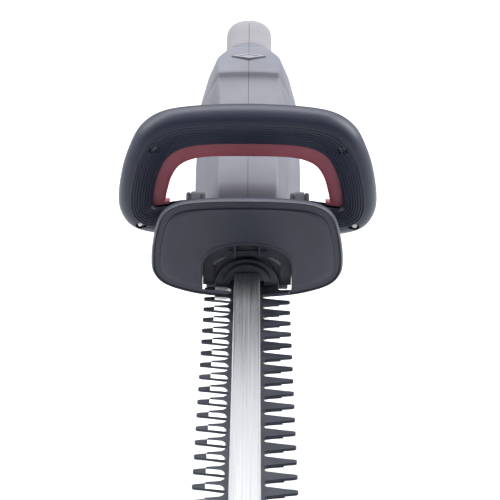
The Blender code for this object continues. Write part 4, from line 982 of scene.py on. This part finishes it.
triggerSizes = {"y": 250.0, "z": 133.0, "half": 8.0, "length": 58.0, "drop": 17.0}
buttonSizes = {"y": 184.0, "z": 156.0, "wide": 18.0, "long": 10.0}


def bodySection(y, shrink):
    stations = bodySizes["stations"]
    ys = [station[0] for station in stations]

    def at(pick):
        return steady(ys, [pick(station) for station in stations], y)

    top, plateau, low = at(lambda k: k[1]), at(lambda k: k[2]), at(lambda k: k[5])
    foot = (at(lambda k: k[3][0]), at(lambda k: k[3][1]))
    side = (at(lambda k: k[4][0]), at(lambda k: k[4][1]))
    wide, height = side
    tall = height - low
    corners = [(0.0, top + 1.2), (0.55 * plateau, top + 0.9), (plateau, top), foot, side,
               (wide, low + 0.6 * tall), (wide - 1.5, low + min(0.35 * tall, 11.0)), (wide - 9.0,
                   low), (0.0, low)]
    radii = [0.3, 6.0, 1.8, 3.2, 5.5, 12.0, 8.0, 8.0, 0.3]
    mirrored = [(-x, z) for x, z in reversed(corners[1:-1])]
    outline = rounded(corners + mirrored, radii + list(reversed(radii[1:-1])), 4)
    if shrink:
        outline = inset(outline, shrink)
    return [(x, y, z) for x, z in outline]


def bodyLoft(shrink):
    ys = sorted({station[0] for station in bodySizes["stations"]} | set(bodySizes["fill"]))
    rings = []
    for y in ys:
        ring = bodySection(y, shrink)
        move = 0.0
        if shrink and y <= 60.0:
            move = shrink
        if shrink and y == ys[-1]:
            move = -shrink
        rings.append([(x, py + move, z) for x, py, z in ring])
    return skin(rings)


def gripRings(shrink, first=0, last=None):
    s = gripSizes
    points = [Vector(p) for p in s["path"]]
    count = len(points)
    path = []
    for i in range(count - 1):
        four = (points[max(i - 1, 0)], points[i], points[i + 1], points[min(i + 2, count - 1)])
        path += [curvePoint(*four, k / s["steps"]) for k in range(s["steps"])]
    path.append(points[-1])
    total = len(path) - 1
    rings = []
    for i, centre in enumerate(path):
        tangent = (path[min(i + 1, total)] - path[max(i - 1, 0)]).normalized()
        share = min(max((i / total - 0.45) / 0.25, 0.0), 1.0)
        scale = 1.0 - 0.3 * share
        wide, deep = s["wide"] * scale - shrink, s["deep"] * scale - shrink
        ring = []
        for k in range(s["sides"]):
            angle = math.tau * (k + 0.5) / s["sides"]
            c, n = math.cos(angle), math.sin(angle)
            c = math.copysign(abs(c) ** s["squareness"], c)
            n = math.copysign(abs(n) ** s["squareness"], n)
            ring.append((wide * c, centre.x - tangent.y * deep * n, centre.y + tangent.x * deep * n))
        rings.append(ring)
    return rings[first:last]


def gripRegion(extra):
    s = gripSizes
    front, floor = s["start"] - extra, s["floor"] - extra
    corners = ((front, floor), (inletSizes["back"] + 20, floor), (inletSizes["back"] + 20, 190.0),
        (front, 190.0))
    return prism(rounded(corners, (9.0, 0.1, 0.1, 0.1), 6), -60.0, 60.0, "YZ")


def triggerWay(extra):
    s = triggerSizes
    half = s["half"] + 0.9 + extra
    top = max(point[1] for point in gripSizes["path"]) - 0.5 * (gripSizes["deep"] - gripSizes["wall"])
    return block((-half, s["y"] - 8.0 - extra, s["z"] - 30.0), (half, s["y"] + s["length"] + 4.0 + extra,
        top))


def diamond(extra, shift=0.0):
    s = buttonSizes
    wide, long = s["wide"] + 1.6 * extra, s["long"] + extra
    y = s["y"] + shift
    return rounded(((wide, y), (0.0, y + long), (-wide, y), (0.0, y - long)), (1.2, 1.2, 1.2, 1.2), 4)


def ventTree():
    # a row of slots, as the tool that cuts them
    tree, start, end = newTree("ventRow", [
        ("Slot", "Object", None), ("Count", "Int", 6), ("Step", "Float", 0.0075), ("Material",
            "Material", None)])
    new = tree.nodes.new
    row = new("GeometryNodeMeshLine")
    step = new("ShaderNodeCombineXYZ")
    shape = new("GeometryNodeObjectInfo")
    spread = new("GeometryNodeInstanceOnPoints")
    wire(tree, (start, "Count", row, "Count"), (start, "Step", step, "Y"),
         (step, "Vector", row, "Offset"), (start, "Slot", shape, "Object"),
         (row, "Mesh", spread, "Points"), (shape, "Geometry", spread, "Instance"))
    endTree(tree, spread.outputs["Instances"], start, end)
    return tree


def ventCutter():
    s = bodySizes
    half = s["ventWide"] / 2
    middle = 0.5 * (s["ventLow"] + s["ventHigh"])
    tall = 0.5 * (s["ventHigh"] - s["ventLow"]) - half
    outline = stadium(tall, half, (s["ventStart"], middle), math.pi / 2)
    slot = template(prism(outline, -70.0, 70.0, "YZ"))
    mesh = grow(ventTree(), pointCloud([(0, 0, 0)]), {"Slot": slot, "Count": s["vents"],
        "Step": s["ventStep"] * mm,
                                                      "Material": plasticBody})
    bpy.data.objects.remove(slot, do_unlink=True)
    return mesh


def seamSkin():
    # the outer layer that the tongue stays clear of
    depth = bodySizes["seamDepth"]
    inside = fuse(bodyLoft(depth), skin(gripRings(depth)))
    return cut(block((-2.0, -80.0, -50.0), (2.0, 440.0, 240.0)), inside)


def buildBody():
    s = bodySizes
    i = inletSizes
    bearingR, bearingLow, bearingHigh, bearingY = s["bearing"]
    shell = fuse(bodyLoft(0.0), skin(gripRings(0.0)))
    hollow = fuse(bodyLoft(s["wall"]), skin(gripRings(gripSizes["wall"], 2, -2)))
    hollow = cut(hollow, disc(i["radius"] + 3.0, i["front"] - 4.0, i["back"], 48, (0.0, i["z"]), "XZ"))
    for y, z, half in s["screws"]:
        hollow = cut(hollow, disc(s["boss"], -half - 9, half + 9, 32, (y, z), "YZ"))
    shell = cut(shell, hollow)
    shell = cut(shell, disc(i["radius"] + 0.3, i["front"] - 1.0, i["back"] + 20, 48, (0.0, i["z"]), "XZ"))
    shell = cut(shell, prism(diamond(0.7, -0.5), 140.0, 175.0), disc(bearingR, bearingLow, bearingHigh,
        40, (0.0, bearingY)),
        triggerWay(0.0))
    shell = cut(shell, ventCutter())
    for y, z, half in s["screws"]:
        shell = cut(shell, disc(s["bore"], -10.0, half + 9, 20, (y, z), "YZ"),
            disc(s["headBore"], half - s["headSunk"], half + 20, 32, (y, z), "YZ"))
    layer = cut(skin(gripRings(-1.0)), skin(gripRings(gripSizes["pad"] + 0.25)))
    shell = cut(shell, keep(layer, gripRegion(0.35)))
    pad = cut(skin(gripRings(0.0)), skin(gripRings(gripSizes["pad"])))
    pad = cut(keep(pad, gripRegion(0.0)), triggerWay(0.2), disc(i["radius"] + 3.0, i["front"] - 4.0,
        i["back"] + 20, 48, (0.0, i["z"]), "XZ"))
    # tongue that fills the joint between the two halves, a little below the surface; its near-black plastic
    # is painted shade for the shadowed seam gap
    tongueShade = keep(shell.copy(), cut(block((-0.2, -60.0, -30.0), (0.2, 420.0, 220.0)), seamSkin()))
    # painted shade: the tongue takes near-black plastic instead of the body's grey so the seam reads as a
    # shadowed gap
    piece("seamTongue", tongueShade, plasticBlack)
    for name, side in (("left", -1), ("right", 1)):
        ends = sorted((side * s["seam"], side * 90.0))
        for label, whole, finish, slot in (("body_shell", shell, plasticBody, "body_plastic"),
            ("grip_pad", pad, rubberGrip, "grip_rubber")):
            half = keep(whole.copy(), block((ends[0], -60.0, -30.0), (ends[1], 420.0, 220.0)))
            piece(f"{label}_{name}_skin", half, finish, stands=[f"{label}_{name}"], sharp=28)


def buildControls():
    s = triggerSizes
    length, drop = s["length"], s["drop"]
    corners = ((-5.0, 3.0), (4.0, 5.5), (0.8 * length, 1.5), (length, -6.0), (length - 3.0, -drop - 1.5),
               (0.62 * length, -drop - 4.5), (0.3 * length, -drop - 2.0), (0.06 * length,
                   4.0 - drop), (-4.0, -5.0))
    outline = [(s["y"] + y, s["z"] + z) for y, z in corners]
    outline = rounded(outline, (1.5, 1.5, 2.5, 3.0, 3.0, 9.0, 7.0, 4.0, 1.5), 5)
    trigger = prism(outline, -s["half"], s["half"], "YZ")
    piece("triggerLever", trigger, plasticRed, "trigger", ["trigger"], 40, 1.4)
    top = buttonSizes["z"] + 2.0
    button = fuse(prism(diamond(0.0), top - 13.0, top), prism(diamond(2.5), top - 13.0, top - 8.5))
    button = cut(button, prism(diamond(-4.2), top - 0.7, top + 5))
    piece("lockOffButton", button, plasticButton, "lock_off_button", ["lock_off_button"],
        40, 0.4)


# Metal and hidden nodes keep their shape and take better finishes

finishes = (
    (metalCase, ("gearcase_housing",)),
    (metalCover, ("gearcase_cover", "handle_bracket")),
    (metalZinc, ("bracket_screw_left", "bracket_screw_right", "clamp_bolt_left", "clamp_bolt_right",
        "trigger_spring", "blade_bolt_1", "blade_bolt_2", "blade_bolt_3", "blade_bolt_4")),
    (metalGear, ("crank_gear", "upper_cam", "lower_cam", "pinion")),
    (metalShaft, ("crank_shaft", "motor_shaft", "bearing_lower", "bearing_upper")),
    (metalBronze, ("crank_bush_lower", "crank_bush_upper")),
    (metalIron, ("motor_stator",)),
    (metalCopper, ("armature", "commutator")),
    (plasticBlack, ("cooling_fan", "motor_bracket", "carbon_brush_left", "carbon_brush_right",
        "trigger_switch", "handle_switch", "power_inlet")),
    (metalBrass, ("inlet_pin_left", "inlet_pin_right")),
)

buildLoop()
buildSwitchBar()
buildClamps()
print("loop, switch bar and clamps ready")
buildGuard()
buildNose()
print("guard and nose ready")
buildBlades()
print("blades and bar ready")
buildBody()
buildControls()
buildScrews()
print("body, controls and screws ready")
for material, names in finishes:
    for name in names:
        nodes[name].data.materials.clear()
        nodes[name].data.materials.append(material)


# Studio: pale floor, soft lights, camera

studio = {"floor": -0.16, "floorSize": 14.0, "lens": 159.2, "sensor": 36.0,
          "camera": (0.0026, -2.068, 0.6975), "tilt": 71.5, "roll": 0.4}


def softLight(name, at, aim, width, height, watts, colour=(1.0, 1.0, 1.0)):
    lamp = bpy.data.lights.new(name, "AREA")
    lamp.shape = "RECTANGLE"
    lamp.size, lamp.size_y = width, height
    lamp.energy = watts
    lamp.color = colour
    made = place(name, lamp)
    made.location = at
    made.rotation_euler = (Vector(aim) - Vector(at)).to_track_quat("-Z", "Y").to_euler()


def buildStudio():
    s = studio
    half = s["floorSize"] / 2
    mesh = bpy.data.meshes.new("floor")
    mesh.from_pydata([(-half, -half, s["floor"]), (half, -half, s["floor"]), (half, half, s["floor"]),
        (-half, half, s["floor"])],
                     [], [(0, 1, 2, 3)])
    material, shader = startMaterial("paleFloor", (0.93, 0.93, 0.93), 0.9)
    tree = material.node_tree
    tree.links.new(rangeOf(tree, noiseOf(tree, 3.0), 0.86, 0.94), shader.inputs["Roughness"])
    mesh.materials.append(material)
    floor = place("floor", mesh)
    softLight("keyLight", (-1.6, 0.3, 1.8), (0, 0, 0.05), 1.6, 1.6, 34)
    softLight("fillLight", (1.8, 0.4, 1.6), (0, 0, 0.05), 1.6, 1.6, 52)
    softLight("topLight", (0.0, 1.2, 2.3), (0, 0.1, 0.05), 2.2, 1.4, 34)
    world = bpy.data.worlds.new("studio")
    world.use_nodes = True
    bpy.context.scene.world = world
    tree = world.node_tree
    back = tree.nodes["Background"]
    where = tree.nodes.new("ShaderNodeTexCoord")
    apart = tree.nodes.new("ShaderNodeSeparateXYZ")
    tree.links.new(where.outputs["Generated"], apart.inputs["Vector"])
    strength = rangeOf(tree, apart.outputs["Y"], 0.18, 1.0, -0.75, 0.25)
    tree.links.new(strength, back.inputs["Strength"])
    back.inputs["Color"].default_value = (0.97, 0.98, 1.0, 1.0)
    lens = bpy.data.cameras.new("camera")
    lens.lens = s["lens"]
    lens.sensor_width = s["sensor"]
    camera = place("camera", lens)
    camera.location = s["camera"]
    tilt = Matrix.Rotation(math.radians(s["tilt"]), 3, "X")
    roll = Matrix.Rotation(math.radians(s["roll"]), 3, "Z")
    camera.rotation_euler = (tilt @ roll).to_euler()
    bpy.context.scene.camera = camera
    bpy.context.scene.view_settings.view_transform = "Standard"


buildStudio()
print("studio ready")
